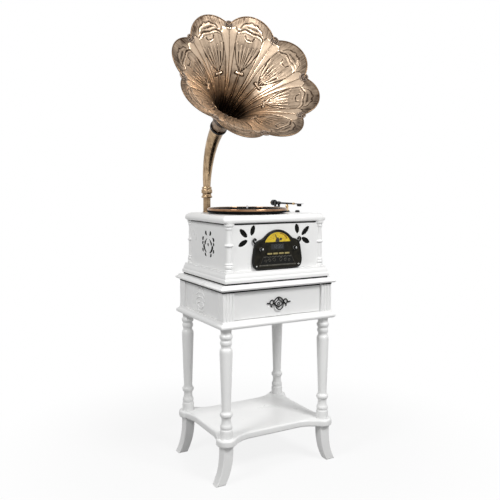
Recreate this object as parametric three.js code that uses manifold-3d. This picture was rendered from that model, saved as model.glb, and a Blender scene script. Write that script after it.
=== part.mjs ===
// Retro record player: a turntable and radio with a flower horn, on a turned-leg table with one drawer.
// Millimetres, +Z up, +X to the right, the front faces -Y. Pieces are built about the cabinet's centre line.
import * as THREE from "three";
import { mergeVertices } from "three/addons/utils/BufferGeometryUtils.js";
import Module from "manifold-3d";

const wasm = await Module();
wasm.setup();

// Fits and mesh steps
const GAP = 0.3; // clearance between two pieces that touch
const OVERRUN = 5; // how far a cutting tool runs past the face it cuts
const MERGE = 1e-3; // distance under which two mesh points are one
const COARSE = 12; // sides of a leg or column
const ROUND = 16; // sides of a small turned piece
const FINE = 32; // sides of the platter and its mat
const CORNER_STEPS = 2; // steps round one corner of a moulded board

// Table
const TABLE_WIDTH = 480; // over the table top, which sets the scale of the whole cabinet
const TABLE_DEPTH = 400;
const TABLE_HEIGHT = 700;
const TOP_THICKNESS = 20;
const TOP_MOULD = 12; // width of the ogee round the table top
const TOP_OVERHANG = 14; // table top past the corner posts
const BASE_OVERHANG = 13; // base board past the corner posts
const BASE_THICKNESS = 26;
const BASE_MOULD = 12;
const APRON_HEIGHT = 105; // from the base board to the underside of the table top
const BOARD_CORNER = 3; // corner radius of the moulded boards
const POST_SIZE = 44; // square fluted corner posts
const PANEL_INSET = 8; // side and back panels behind the post faces
const PANEL_THICKNESS = 14;
const FLUTE_COUNT = 3;
const FLUTE_WIDTH = 8;
const FLUTE_DEPTH = 2.5;
const FLUTE_PITCH = 12;

// Drawer and its pull
const DRAWER_INSET = 9; // drawer front behind the post faces
const DRAWER_FRONT_THICKNESS = 18;
const DRAWER_MARGIN = 1.5; // gap round the drawer front
const DRAWER_WALL = 10;
const DRAWER_FLOOR = 5;
const DRAWER_HEIGHT = 78;
const DRAWER_BACK_SPACE = 30; // from the drawer box to the back panel
const PULL_WIDTH = 103;
const PULL_HEIGHT = 47;
const PULL_THICKNESS = 3;
const PULL_DROP = 5; // pull centre below the middle of the drawer front
const EAR_SPACING = 46; // between the outer faces of the two ears
const EAR_SIZE = 5;
const EAR_REACH = 9; // ears in front of the back plate
const PIVOT_RADIUS = 1.5; // small pins of the bail, the tonearm and the lift lever
const BAIL_RADIUS = 2;
const BAIL_DROP = 24;
const BOW_SHARE = 0.75; // share of its handles' drop that a cubic curve reaches half way

// Legs, shelf and feet
const LEG_INSET = 36; // leg axis in from the table top's edges
const LEG_RADIUS = 23;
const SHELF_HEIGHT = 163; // floor to the shelf's top face
const SHELF_THICKNESS = 27;
const SHELF_LOBE = 36; // radius of the shelf's round corners about the leg axes
const SHELF_SIDE_OUT = 9; // side edges outside the leg axes
const SHELF_FRONT_IN = 7; // front and back edges inside the leg axes
const SHELF_ROUND = 7; // rounding of the shelf's edge
const SHELF_SWEEP = 85; // from a leg axis to where the edge runs straight
const FOOT_SIZE = 39;
const FOOT_SPLAY = 28;
const FOOT_SWEEP_POWER = 2.4;
const FOOT_STEPS = 7;

// Player case
const PLINTH_WIDTH = 436;
const PLINTH_DEPTH = 368;
const PLINTH_HEIGHT = 42;
const PLINTH_MOULD = 9;
const PLINTH_FLOOR = 8;
const CASE_WIDTH = 392; // over the side walls
const CASE_DEPTH = 326; // over the front and back walls
const CASE_HEIGHT = 168;
const CASE_WALL = 10;
const COLUMN_RADIUS = 17;
const COLUMN_INSET = 8; // column axis inside the case's outer corner
const GROOVE_DEPTH = 4; // column axis to the end of a wall housed in it
const DECK_WIDTH = 426;
const DECK_DEPTH = 338;
const DECK_THICKNESS = 27;
const DECK_BOARD = 12; // board left above the deck's hollow underside
const DECK_MOULD = 16;
const DECK_CORNER = 10;

// Turntable
const PLATTER_RADIUS = 150;
const PLATTER_OFFSET = -30; // platter axis left of the centre line
const PLATTER_THICKNESS = 12;
const PLATTER_CLEARANCE = 4; // platter skirt above the deck
const PLATTER_DISC = 5;
const SKIRT_THICKNESS = 7;
const DRIVE_RADIUS = 58; // belt rim under the platter
const DRIVE_WALL = 4;
const HUB_RADIUS = 14;
const MAT_RADIUS = 145;
const MAT_THICKNESS = 3;
const SPINDLE_RADIUS = 3.6;
const SPINDLE_TOP = 11; // spindle above the mat
const SPINDLE_TAIL = 26; // spindle below the deck's top face
const SPINDLE_FLANGE = 12;
const PULLEY_RADIUS = 6;
const PULLEY_DISTANCE = 92; // pulley axis from the platter axis
const PULLEY_SHAFT = 1.2;
const BELT_THICKNESS = 0.8;
const BELT_HEIGHT = 4;
const MOTOR_RADIUS = 19;
const MOTOR_HEIGHT = 26;

// Tonearm
const ARM_X = 160;
const ARM_Y = 95; // pivot behind the centre line
const ARM_HEIGHT = 33; // arm axis above the deck
const ARM_REACH = 161; // pivot to stylus
const ARM_TUBE_RADIUS = 2.6;
const ARM_TUBE_LENGTH = 128; // pivot to the headshell
const ARM_TAIL = 48; // pivot to the end of the rear stub
const ARM_TAIL_RADIUS = 4;
const ARM_BLOCK = 13;
const YOKE_GAP = 0.6; // each side of the arm block
const YOKE_CHEEK = 3;
const YOKE_DEPTH = 14;
const YOKE_FLOOR = 4;
const PEDESTAL_RADIUS = 23;
const PEDESTAL_FLANGE = 4;
const PEDESTAL_WAIST = 12;
const PEDESTAL_HEIGHT = 15;
const YAW_PIN_RADIUS = 4;
const YAW_PIN_LENGTH = 12;
const WEIGHT_RADIUS = 12;
const WEIGHT_LENGTH = 18;
const WEIGHT_FRONT = 14; // pivot to the weight's front face
const HEADSHELL_WIDTH = 17;
const HEADSHELL_LENGTH = 42;
const HEADSHELL_THICKNESS = 3;
const CARTRIDGE_WIDTH = 10;
const CARTRIDGE_LENGTH = 18;
const RECORD_THICKNESS = 2; // a record that lies on the mat
const REST_Y = 20;
const REST_RADIUS = 4;
const REST_BASE = 11;
const REST_BASE_HEIGHT = 5;
const REST_LIP = 5;
const LEVER_LENGTH = 30;
const LEVER_RADIUS = 2;
const LEVER_OFFSET = 26; // lift lever's plane outside the arm pivot
const LEVER_HEIGHT = 10;
const SPEED_X = 176;
const SPEED_Y = -30;
const SPEED_RADIUS = 9;
const SPEED_HEIGHT = 8;
const SPEED_LEVER = 14;

// Radio panel
const FASCIA_WIDTH = 206;
const FASCIA_HEIGHT = 142;
const FASCIA_THICKNESS = 11;
const FASCIA_LIFT = 2; // fascia above the plinth's top face
const DIAL_RADIUS = 54;
const DIAL_HEIGHT = 35; // height of the dial's window
const DIAL_BASE = 97; // foot of the dial above the fascia's bottom edge
const DIAL_RECESS = 3; // dial plate behind the fascia's front face
const NEEDLE_LENGTH = 27;
const NEEDLE_WIDTH = 2;
const NEEDLE_THICKNESS = 1;
const NEEDLE_HUB = 5;
const NEEDLE_LEAN = 25; // degrees left of upright at rest
const LCD_WIDTH = 56;
const LCD_HEIGHT = 21;
const LCD_BASE = 70; // above the fascia's bottom edge
const KNOB_SPACING = 139; // between the two knob axes
const KNOB_BASE = 74; // knob axes above the fascia's bottom edge
const KNOB_RADIUS = 7;
const KNOB_LENGTH = 13;
const KNOB_SHAFT = 3;
const BUTTON_COUNT = 4;
const BUTTON_WIDTH = 20;
const BUTTON_HEIGHT = 6;
const BUTTON_PITCH = 24;
const BUTTON_BASE = 53; // above the fascia's bottom edge
const BUTTON_PROUD = 2.5;
const BUTTON_TRAVEL = 1.5;
const TRAY_PANEL_DEPTH = 2;

// Sound and power
const GRILLE_THICKNESS = 1.5;
const GRILLE_MARGIN = 14;
const SPEAKER_RADIUS = 50;
const SPEAKER_DEPTH = 38;
const SPEAKER_MAGNET = 28;
const FRET_Y = -8; // centre of the side fret and its loudspeaker
const FRET_HEIGHT = 88; // centre of the side fret above the plinth
const FRET_SPAN = 92; // fret from its lowest to its highest hole
const CURL_OUTER_SHARE = 1.2;
const CURL_INNER_SHARE = 0.5;
const AMP_WIDTH = 150;
const AMP_DEPTH = 90;
const AMP_BOARD = 2;
const AMP_LIFT = 6;
const SOCKET_WIDTH = 28;
const SOCKET_HEIGHT = 20;

// Horn
const PIPE_X = -133;
const PIPE_Y = 135;
const PIPE_RADIUS = 14.25;
const PIPE_WALL = 1.5;
const COLLAR_RADIUS = 21;
const COLLAR_BASE = 55; // collar above the deck
const COLLAR_HEIGHT = 43;
const SOCKET_DEPTH = 30; // elbow inside the collar
const ELBOW_RADIUS = 251; // bend radius of the elbow's centre line
const ELBOW_BEND = 60; // degrees
const ELBOW_STEPS = 7;
const ELBOW_SIDES = 16;
const HORN_TURN = -5.1; // degrees, mouth turned left of straight ahead
const NECK_RADIUS = 28;
const NECK_WALL = 1;
const RING_RADIUS = 32;
const RING_LENGTH = 9;
const FERRULE_LENGTH = 45;
const FERRULE_RADIUS = 33;
const BELL_LENGTH = 292; // joint ring to the plane of the medallions
const BELL_RADIUS = 219.5; // circle through the medallions
const BELL_WALL = 0.6;
const PETAL_COUNT = 8;
const LOBE_DISTANCE = 154.6; // bell axis to the centre of a petal's round end
const LOBE_RADIUS = 102.3;
const PETAL_ADVANCE = 18.6; // petal tips ahead of the medallions
const PETAL_RELIEF = 2.4; // height of the band along each seam, and of the knot
const BELL_ROLL = 4.3; // degrees
const RIM_RADIUS = 2.4; // rolled edge of the petals
const MEDALLION_RADIUS = 16;
const MEDALLION_THICKNESS = 4;
const MEDALLION_TILT = 28; // degrees towards the bell's axis

// Outlines, as shares of the piece that carries them: [out from axis or edge, up]
const TOP_PROFILE_SHARES = [
  [0.85, 0], [0.35, 0.08], [0, 0.28], [0, 0.45], [0.4, 0.6], [0.75, 0.8], [1, 1],
];
const BASE_PROFILE_SHARES = [
  [0.5, 0], [0.12, 0.1], [0, 0.3], [0.12, 0.5], [0.5, 0.64], [0.75, 0.72], [0.85, 0.86], [1, 1],
];
const PLINTH_PROFILE_SHARES = [
  [0.2, 0], [0, 0.06], [0, 0.3], [0.25, 0.38], [0.42, 0.42], [0.42, 0.52], [0.62, 0.72], [0.9, 0.84],
  [1, 1],
];
const DECK_PROFILE_SHARES = [
  [0.3, 0], [0.1, 0.08], [0, 0.25], [0, 0.5], [0.19, 0.72], [0.56, 0.92], [1, 1],
];
const LEG_PROFILE_SHARES = [
  [0.98, 0], [0.98, 0.074], [0.84, 0.083], [0.94, 0.097], [0.92, 0.115], [0.76, 0.133], [0.7, 0.165],
  [0.76, 0.19], [0.98, 0.204], [0.98, 0.228], [0.7, 0.243], [1, 0.793], [0.92, 0.813], [0.76, 0.825],
  [0.76, 0.845], [0.91, 0.86], [0.91, 0.884], [0.76, 0.897], [1, 0.916], [1, 0.937], [0.76, 0.953],
  [0.91, 1],
];
const COLUMN_PROFILE_SHARES = [
  [0.96, 0], [0.96, 0.05], [0.76, 0.062], [0.95, 0.075], [0.95, 0.125], [0.8, 0.138], [0.9, 0.15],
  [0.9, 0.17], [0.7, 0.182], [0.74, 0.3], [0.7, 0.52], [0.95, 0.533], [0.95, 0.563], [0.7, 0.577],
  [0.68, 0.87], [0.82, 0.885], [0.82, 0.92], [0.72, 0.932], [1, 0.945], [1, 1],
];
const PETAL_WIDTH_SHARES = [0, 0.1, 0.24, 0.45, 0.68, 0.84, 1]; // a petal's middle to its seam
const BELL_PROFILE_SHARES = [
  [0, 0, [0, 0, 0, 0, 0, 0, 0]],
  [0.1, 0.025, [0.3, 0, 0, 0, 0, 0.3, -0.2]],
  [0.22, 0.075, [0.3, 0, 0, 0, 0, 0.4, -0.2]],
  [0.34, 0.15, [0.4, 0, 0, 0, 0, 0.6, -0.3]],
  [0.46, 0.245, [0.4, 0, 0, 0, 0, 0.8, -0.3]],
  [0.555, 0.336, [1, 1, 0.6, 0, 0, 0.9, -0.4]], // knot
  [0.63, 0.412, [0.5, -0.3, -0.5, 0.1, -0.1, 0.9, -0.4]], // creases
  [0.71, 0.512, [0.5, 0.1, -0.5, 0.3, -0.5, 0.9, -0.4]],
  [0.8, 0.64, [0.3, 0.2, 0.2, 0.2, -0.5, 0.9, -0.4]],
  [0.86, 0.738, [-0.5, -0.5, -0.3, -0.2, 0.5, 1, -0.4]], // bow
  [0.905, 0.82, [-0.9, -0.9, -0.8, -0.8, 0.5, 1, -0.4]], // wave
  [0.945, 0.893, [0.5, 0.5, 0.5, 0.3, 0.2, 0.8, -0.3]], // cloud
  [1, 1, [0, 0, 0, 0, 0, 0, 0]],
]; // [along the bell, growth of the radius, pressed height at each of the width shares]
const LOBE_GROWTH_POWER = 1.6; // how late the petals' round sides grow along the bell
const FASCIA_OUTLINE_SHARES = [
  [0.84, 0], [0.96, 0.08], [1, 0.22], [0.96, 0.42], [0.9, 0.66], [0.78, 0.735], [0.58, 0.775],
  [0.43, 0.885], [0.22, 0.97], [0, 1],
]; // right half, [half width, height]
const TRAY_PANEL_SHARES = [[0.58, 0.36], [0.8, 0.08]]; // right half of the lower panel, top then bottom
const PULL_OUTLINE_SHARES = [
  [1, 0.1], [0.82, 0.3], [0.68, 0.14], [0.56, 0.4], [0.4, 0.42], [0.3, 0.74], [0.12, 0.86], [0, 1],
]; // right upper quarter
const PULL_HOLE_SHARES = [
  [0.8, 0, 0.03],
  [0.5, 0, 0.045],
  [0.28, 0.32, 0.045],
  [0.28, -0.32, 0.045],
];
const LEAF_SHARES = [
  [-0.755, 0.887, -0.6, 0.7], [-0.464, 0.958, -0.55, 0.732], [-0.77, 0.53, -0.58, 0.643],
]; // left front leaves: tip then stem, [half case width, case height] twice
const LEAF_WIDTH = 13;
const LEAF_STEPS = 5;
const FRET_DOT_SHARES = [[0.1, 0.43, 0.05], [0.28, 0.2, 0.045], [0.12, -0.02, 0.04], [0.17, -0.46, 0.035]];
const FRET_CURL_SHARES = [
  [0.05, 0.32, 0.16, 0.06], [0.3, 0.1, 0.12, -0.12], [0.06, -0.12, 0.26, -0.2], [0.3, -0.34, 0.1, -0.22],
]; // right half of the fret: thick end then thin end, shares of the fret's span
const FRET_CURL_WIDTH = 7;

// Places worked out from the sizes above
const legX = TABLE_WIDTH / 2 - LEG_INSET;
const legY = TABLE_DEPTH / 2 - LEG_INSET;
const shelfBottom = SHELF_HEIGHT - SHELF_THICKNESS;
const topBottom = TABLE_HEIGHT - TOP_THICKNESS;
const apronBottom = topBottom - APRON_HEIGHT;
const baseBottom = apronBottom - BASE_THICKNESS;
const postX = TABLE_WIDTH / 2 - TOP_OVERHANG; // outer face of the corner posts
const postY = TABLE_DEPTH / 2 - TOP_OVERHANG;
const drawerFace = -(postY - DRAWER_INSET);
const caseBottom = TABLE_HEIGHT + PLINTH_HEIGHT;
const deckBottom = caseBottom + CASE_HEIGHT;
const deckTop = deckBottom + DECK_THICKNESS;
const caseX = CASE_WIDTH / 2;
const caseY = CASE_DEPTH / 2;
const columnX = caseX - COLUMN_INSET;
const columnY = caseY - COLUMN_INSET;
const platterBottom = deckTop + PLATTER_CLEARANCE;
const platterTop = platterBottom + PLATTER_THICKNESS;
const matTop = platterTop + GAP + MAT_THICKNESS;
const pulleyX = PLATTER_OFFSET + PULLEY_DISTANCE * Math.SQRT1_2;
const pulleyY = PULLEY_DISTANCE * Math.SQRT1_2;
const beltBottom = platterBottom + GAP;
const armZ = deckTop + ARM_HEIGHT;
const fasciaBottom = caseBottom + FASCIA_LIFT;
const fasciaFace = -(caseY + GAP + FASCIA_THICKNESS);
const dialFoot = fasciaBottom + DIAL_BASE;
const collarTop = deckTop + COLLAR_BASE + COLLAR_HEIGHT;

const part = new THREE.Group();

// Materials
const finish = (color, roughness, metalness) =>
  new THREE.MeshStandardMaterial({ color, roughness, metalness });
const whitePaint = finish(0xf2f2f0, 0.35, 0);
const rawBoard = finish(0xc9a877, 0.7, 0);
const brass = finish(0x9c7a52, 0.35, 1);
const copper = finish(0xc08a5a, 0.25, 1);
const blackRubber = finish(0x121212, 0.85, 0);
const blackMetal = finish(0x17171a, 0.35, 0.6);
const blackPlastic = finish(0x101010, 0.4, 0);
const darkBronze = finish(0x2b2822, 0.45, 0.7);
const dialYellow = finish(0xe3c021, 0.5, 0);
const lcdGlass = finish(0x23272b, 0.1, 0);
const silver = finish(0xc9c9c9, 0.2, 1);
const gold = finish(0xb09a3a, 0.3, 1);
const steel = finish(0xb4b4b8, 0.3, 1);
const blackCloth = finish(0x141414, 0.95, 0);
const circuitGreen = finish(0x1f6b3a, 0.6, 0);

// Geometry helpers
const point = (x, y) => new THREE.Vector2(x, y);
const radians = THREE.MathUtils.degToRad;

function solidOf(geometry) {
  const bare = geometry.clone();
  bare.deleteAttribute("normal");
  bare.deleteAttribute("uv");
  const merged = mergeVertices(bare, MERGE);
  const triVerts = new Uint32Array(merged.index.array);
  const vertProperties = merged.attributes.position.array;
  return new wasm.Manifold(new wasm.Mesh({ numProp: 3, vertProperties, triVerts }));
}

function geometryOf(solid) {
  const mesh = solid.getMesh();
  const geometry = new THREE.BufferGeometry();
  geometry.setAttribute("position", new THREE.BufferAttribute(mesh.vertProperties, 3));
  return geometry.setIndex(new THREE.BufferAttribute(mesh.triVerts, 1));
}

const cut = (body, tools) =>
  geometryOf(tools.reduce((left, tool) => left.subtract(solidOf(tool)), solidOf(body)));
const join = (body, more) => geometryOf(more.reduce((sum, piece) => sum.add(solidOf(piece)), solidOf(body)));

// A box from its lowest to its highest corner.
function block(x0, y0, z0, x1, y1, z1) {
  const box = new THREE.BoxGeometry(x1 - x0, y1 - y0, z1 - z0);
  return box.translate((x0 + x1) / 2, (y0 + y1) / 2, (z0 + z1) / 2);
}

// A turned piece about +Z from [radius, height] points, lowest first.
function turned(profile, sides = ROUND) {
  return new THREE.LatheGeometry(profile.map(([r, z]) => point(r, z)), sides).rotateX(Math.PI / 2);
}

const rod = (radius, z0, z1, sides = ROUND) => turned([[0, z0], [radius, z0], [radius, z1], [0, z1]], sides);
const alongX = (geometry) => geometry.rotateY(Math.PI / 2);
const towardsFront = (geometry) => geometry.rotateX(Math.PI / 2);

// A flat outline in XZ, as seen from the front, given a thickness from y1 forwards to y0.
function upright(shape, y0, y1, curveSteps = 6) {
  const options = { depth: y1 - y0, bevelEnabled: false, curveSegments: curveSteps };
  return new THREE.ExtrudeGeometry(shape, options).rotateX(Math.PI / 2).translate(0, y1, 0);
}

// Rings of points joined one to the next. The ends are capped, or the last ring joins the first.
function loft(rings, closed = false) {
  const count = rings[0].length;
  const points = rings.flat();
  const faces = [];
  const bands = closed ? rings.length : rings.length - 1;
  for (let band = 0; band < bands; band++) {
    const low = band * count;
    const high = ((band + 1) % rings.length) * count;
    for (let i = 0; i < count; i++) {
      const j = (i + 1) % count;
      faces.push(low + i, low + j, high + j, low + i, high + j, high + i);
    }
  }
  if (!closed) {
    const middle = (ring) => ring.reduce((sum, p) => sum.add(p), new THREE.Vector3()).divideScalar(count);
    const last = (rings.length - 1) * count;
    points.push(middle(rings[0]), middle(rings.at(-1)));
    for (let i = 0; i < count; i++) {
      const j = (i + 1) % count;
      faces.push(points.length - 2, j, i, points.length - 1, last + i, last + j);
    }
  }
  return new THREE.BufferGeometry().setFromPoints(points).setIndex(faces);
}

// A board with a moulded edge: each profile share insets the outline and climbs its thickness.
function mouldedBoard(width, depth, z0, thickness, mould, corner, profileShares) {
  const rings = profileShares.map(([insetShare, heightShare]) => {
    const halfX = width / 2 - insetShare * mould - corner;
    const halfY = depth / 2 - insetShare * mould - corner;
    const outline = new THREE.Shape();
    outline.absarc(halfX, halfY, corner, 0, Math.PI / 2);
    outline.absarc(-halfX, halfY, corner, Math.PI / 2, Math.PI);
    outline.absarc(-halfX, -halfY, corner, Math.PI, 1.5 * Math.PI);
    outline.absarc(halfX, -halfY, corner, 1.5 * Math.PI, 2 * Math.PI);
    const z = z0 + heightShare * thickness;
    return outline.getPoints(CORNER_STEPS).map((p) => new THREE.Vector3(p.x, p.y, z));
  });
  return loft(rings);
}

function add(name, geometry, material, x = 0, y = 0, z = 0, parent = part) {
  const mesh = new THREE.Mesh(geometry, material);
  mesh.name = name;
  mesh.position.set(x, y, z);
  parent.add(mesh);
  return mesh;
}

// The four corners, named and placed by their signs.
const corners = [["front_left", -1, -1], ["front_right", 1, -1], ["back_left", -1, 1], ["back_right", 1, 1]];

// Table top and base board
function tableTop() {
  return mouldedBoard(
    TABLE_WIDTH, TABLE_DEPTH, topBottom, TOP_THICKNESS, TOP_MOULD, BOARD_CORNER, TOP_PROFILE_SHARES,
  );
}

function baseBoard() {
  const width = 2 * (postX + BASE_OVERHANG);
  const depth = 2 * (postY + BASE_OVERHANG);
  return mouldedBoard(
    width, depth, baseBottom, BASE_THICKNESS, BASE_MOULD, BOARD_CORNER, BASE_PROFILE_SHARES,
  );
}

// Post outline round its own centre, with flutes on the face towards -X and on one towards -Y or +Y.
function flutes(side, faceSign) {
  const half = POST_SIZE / 2;
  const tools = [];
  for (let k = 0; k < FLUTE_COUNT; k++) {
    const along = (k - (FLUTE_COUNT - 1) / 2) * FLUTE_PITCH;
    const flute = rod(FLUTE_WIDTH / 2, apronBottom - OVERRUN, topBottom + OVERRUN, 8);
    const bury = half + FLUTE_WIDTH / 2 - FLUTE_DEPTH;
    flute.translate(side === "x" ? -bury : along, side === "x" ? along : faceSign * bury, 0);
    tools.push(flute);
  }
  return tools;
}

// One side of the apron: two fluted posts and the panel glued between them, drawn for the left side.
function apronSide() {
  const z0 = apronBottom + GAP;
  const z1 = topBottom - GAP;
  const middleX = -(postX - POST_SIZE / 2);
  const posts = [-1, 1].map((sign) => {
    const half = POST_SIZE / 2;
    const post = cut(block(-half, -half, z0, half, half, z1), [...flutes("x", sign), ...flutes("y", sign)]);
    return post.translate(middleX, sign * (postY - POST_SIZE / 2), 0);
  });
  const outer = -(postX - PANEL_INSET);
  const reach = postY - POST_SIZE / 2;
  const panel = block(outer, -reach, z0, outer + PANEL_THICKNESS, reach, z1);
  return join(panel, posts);
}

function apronBack() {
  const halfX = postX - POST_SIZE - GAP;
  const outer = postY - PANEL_INSET;
  return block(-halfX, outer - PANEL_THICKNESS, apronBottom + GAP, halfX, outer, topBottom - GAP);
}

// Drawer
function drawerFront() {
  const halfX = postX - POST_SIZE - DRAWER_MARGIN;
  const z0 = apronBottom + DRAWER_MARGIN;
  const back = drawerFace + DRAWER_FRONT_THICKNESS;
  return block(-halfX, drawerFace, z0, halfX, back, topBottom - DRAWER_MARGIN);
}

function drawerBox() {
  const halfX = postX - POST_SIZE - DRAWER_MARGIN;
  const front = drawerFace + DRAWER_FRONT_THICKNESS + GAP;
  const back = postY - PANEL_INSET - PANEL_THICKNESS - DRAWER_BACK_SPACE;
  const z0 = apronBottom + GAP;
  const outer = block(-halfX, front, z0, halfX, back, z0 + DRAWER_HEIGHT);
  const hollow = block(
    DRAWER_WALL - halfX, front + DRAWER_WALL, z0 + DRAWER_FLOOR,
    halfX - DRAWER_WALL, back - DRAWER_WALL, z0 + DRAWER_HEIGHT + OVERRUN,
  );
  return cut(outer, [hollow]);
}

const pullZ = (apronBottom + topBottom) / 2 - PULL_DROP;
const bailY = drawerFace - GAP - PULL_THICKNESS - EAR_REACH / 2;

// Cast back plate of the pull, pierced, with two ears that hold the bail.
function pullPlate() {
  const halfX = PULL_WIDTH / 2;
  const halfZ = PULL_HEIGHT / 2;
  const quarter = PULL_OUTLINE_SHARES.map(([x, z]) => [x * halfX, z * halfZ]);
  const mirrored = quarter.slice(0, -1).reverse().map(([x, z]) => [-x, z]);
  const upper = [...quarter, ...mirrored];
  const lower = upper.map(([x, z]) => [-x, -z]);
  const shape = new THREE.Shape([...upper, ...lower].map(([x, z]) => point(x, z)));
  PULL_HOLE_SHARES.forEach(([x, z, r]) => {
    [-1, 1].forEach((sign) => {
      const hole = new THREE.Path().absarc(sign * x * halfX, z * halfZ, r * PULL_WIDTH, 0, 2 * Math.PI);
      shape.holes.push(hole);
    });
  });
  const back = drawerFace - GAP;
  const plate = upright(shape, back - PULL_THICKNESS, back, 3);
  const ears = [-1, 1].map((sign) => {
    const x0 = sign * (EAR_SPACING / 2 - EAR_SIZE / 2);
    const half = EAR_SIZE / 2;
    return block(x0 - half, back - PULL_THICKNESS - EAR_REACH, -EAR_SIZE, x0 + half, back, EAR_SIZE);
  });
  const bore = alongX(rod(PIVOT_RADIUS + GAP, -EAR_SPACING, EAR_SPACING, 12)).translate(0, bailY, 0);
  return cut(join(plate, ears), [bore]);
}

// Round bar along a path in the XZ plane.
function bar(path, radius, steps, sides = 8) {
  const section = new THREE.Shape().absarc(0, 0, radius, 0, 2 * Math.PI);
  return new THREE.ExtrudeGeometry(section, { steps, extrudePath: path, curveSegments: sides / 2 });
}

// Hanging bail: a bowed bar whose ends turn outwards into the ears.
function pullBail() {
  const arm = EAR_SPACING / 2 - EAR_SIZE - GAP - BAIL_RADIUS;
  const pinEnd = EAR_SPACING / 2 - GAP;
  // the curve's handles bring the middle of the bow down to its drop
  const pull = (BAIL_RADIUS / 4 - BAIL_DROP + BAIL_RADIUS) / BOW_SHARE;
  const bow = new THREE.CubicBezierCurve3(
    new THREE.Vector3(-arm, 0, BAIL_RADIUS),
    new THREE.Vector3(-arm, 0, pull),
    new THREE.Vector3(arm, 0, pull),
    new THREE.Vector3(arm, 0, BAIL_RADIUS),
  );
  const pins = [-1, 1].map((sign) => {
    const pin = alongX(rod(PIVOT_RADIUS, arm - BAIL_RADIUS / 2, pinEnd, 12));
    return sign > 0 ? pin : pin.rotateZ(Math.PI);
  });
  return join(bar(bow, BAIL_RADIUS, 12), pins);
}

// Legs, shelf and feet
const sharesToSizes = (shares, radius, height) => shares.map(([r, z]) => [r * radius, z * height]);

function spindleTurned(profileShares, radius, height, sides) {
  const points = sharesToSizes(profileShares, radius, height);
  return turned([[0, 0], ...points, [0, height]], sides);
}

function tableShelf() {
  const quarter = Math.PI / 4;
  const swing = radians(95); // half the turn of a lobe, which then runs back into the edges
  const edgeX = legX + SHELF_SIDE_OUT;
  const edgeY = legY - SHELF_FRONT_IN;
  const shape = new THREE.Shape();
  for (let k = 0; k < 4; k++) {
    const signX = k === 0 || k === 3 ? 1 : -1;
    const signY = k < 2 ? 1 : -1;
    const facing = quarter * (2 * k + 1);
    const runs = k % 2 === 0 ? "y" : "x"; // the edge that follows this lobe lies along this face
    const end = facing + swing;
    const endX = signX * legX + SHELF_LOBE * Math.cos(end);
    const endY = signY * legY + SHELF_LOBE * Math.sin(end);
    shape.absarc(signX * legX, signY * legY, SHELF_LOBE, facing - swing, end);
    if (runs === "y") {
      shape.quadraticCurveTo((endX + signX * (legX - SHELF_SWEEP)) / 2, signY * edgeY,
        signX * (legX - SHELF_SWEEP), signY * edgeY);
      shape.lineTo(-signX * (legX - SHELF_SWEEP), signY * edgeY);
    } else {
      shape.quadraticCurveTo(signX * edgeX, (endY + signY * (legY - SHELF_SWEEP)) / 2,
        signX * edgeX, signY * (legY - SHELF_SWEEP));
      shape.lineTo(signX * edgeX, -signY * (legY - SHELF_SWEEP));
    }
  }
  const options = {
    depth: SHELF_THICKNESS - 2 * GAP - 2 * SHELF_ROUND,
    bevelThickness: SHELF_ROUND,
    bevelSize: SHELF_ROUND,
    bevelOffset: -SHELF_ROUND,
    bevelSegments: 2,
    curveSegments: 4,
  };
  return new THREE.ExtrudeGeometry(shape, options).translate(0, 0, shelfBottom + GAP + SHELF_ROUND);
}

// Sabre foot, sawn from one board: it sweeps outwards towards -X.
function sabreFoot() {
  const outer = [];
  const inner = [];
  for (let k = 0; k <= FOOT_STEPS; k++) {
    const up = k / FOOT_STEPS;
    const sweep = FOOT_SPLAY * (1 - up) ** FOOT_SWEEP_POWER;
    outer.push(point(-FOOT_SIZE / 2 - sweep, up * shelfBottom));
    inner.push(point(FOOT_SIZE / 2 - sweep, up * shelfBottom));
  }
  const shape = new THREE.Shape([...inner, ...outer.reverse()]);
  return upright(shape, -FOOT_SIZE / 2, FOOT_SIZE / 2);
}

// Plinth, hollow above its floor
function plinth() {
  const board = mouldedBoard(
    PLINTH_WIDTH, PLINTH_DEPTH, TABLE_HEIGHT + GAP, PLINTH_HEIGHT - GAP, PLINTH_MOULD, BOARD_CORNER,
    PLINTH_PROFILE_SHARES,
  );
  const halfX = caseX - CASE_WALL - GAP;
  const halfY = caseY - CASE_WALL - GAP;
  const floor = TABLE_HEIGHT + PLINTH_FLOOR;
  return cut(board, [block(-halfX, -halfY, floor, halfX, halfY, caseBottom + OVERRUN)]);
}

// Pointed leaf cut through the front wall, from its tip to its stem.
function leafHole(tip, stem) {
  const middle = tip.clone().add(stem).divideScalar(2);
  const side = stem.clone().sub(tip).rotateAround(point(0, 0), Math.PI / 2).setLength(LEAF_WIDTH);
  const shape = new THREE.Shape().moveTo(tip.x, tip.y);
  const left = middle.clone().add(side);
  const right = middle.clone().sub(side);
  shape.quadraticCurveTo(right.x, right.y, stem.x, stem.y);
  shape.quadraticCurveTo(left.x, left.y, tip.x, tip.y);
  return upright(shape, -caseY - OVERRUN, -caseY + CASE_WALL + OVERRUN, LEAF_STEPS);
}

const wallHalfX = columnX - GROOVE_DEPTH; // front and back walls end inside the columns
const wallHalfY = columnY - GROOVE_DEPTH;

function caseFront() {
  const wall = block(-wallHalfX, -caseY, caseBottom + GAP, wallHalfX, CASE_WALL - caseY, deckBottom - GAP);
  const leaves = LEAF_SHARES.flatMap(([tipX, tipZ, stemX, stemZ]) => [1, -1].map((sign) => leafHole(
    point(sign * tipX * caseX, caseBottom + tipZ * CASE_HEIGHT),
    point(sign * stemX * caseX, caseBottom + stemZ * CASE_HEIGHT),
  )));
  return cut(wall, leaves);
}

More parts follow.
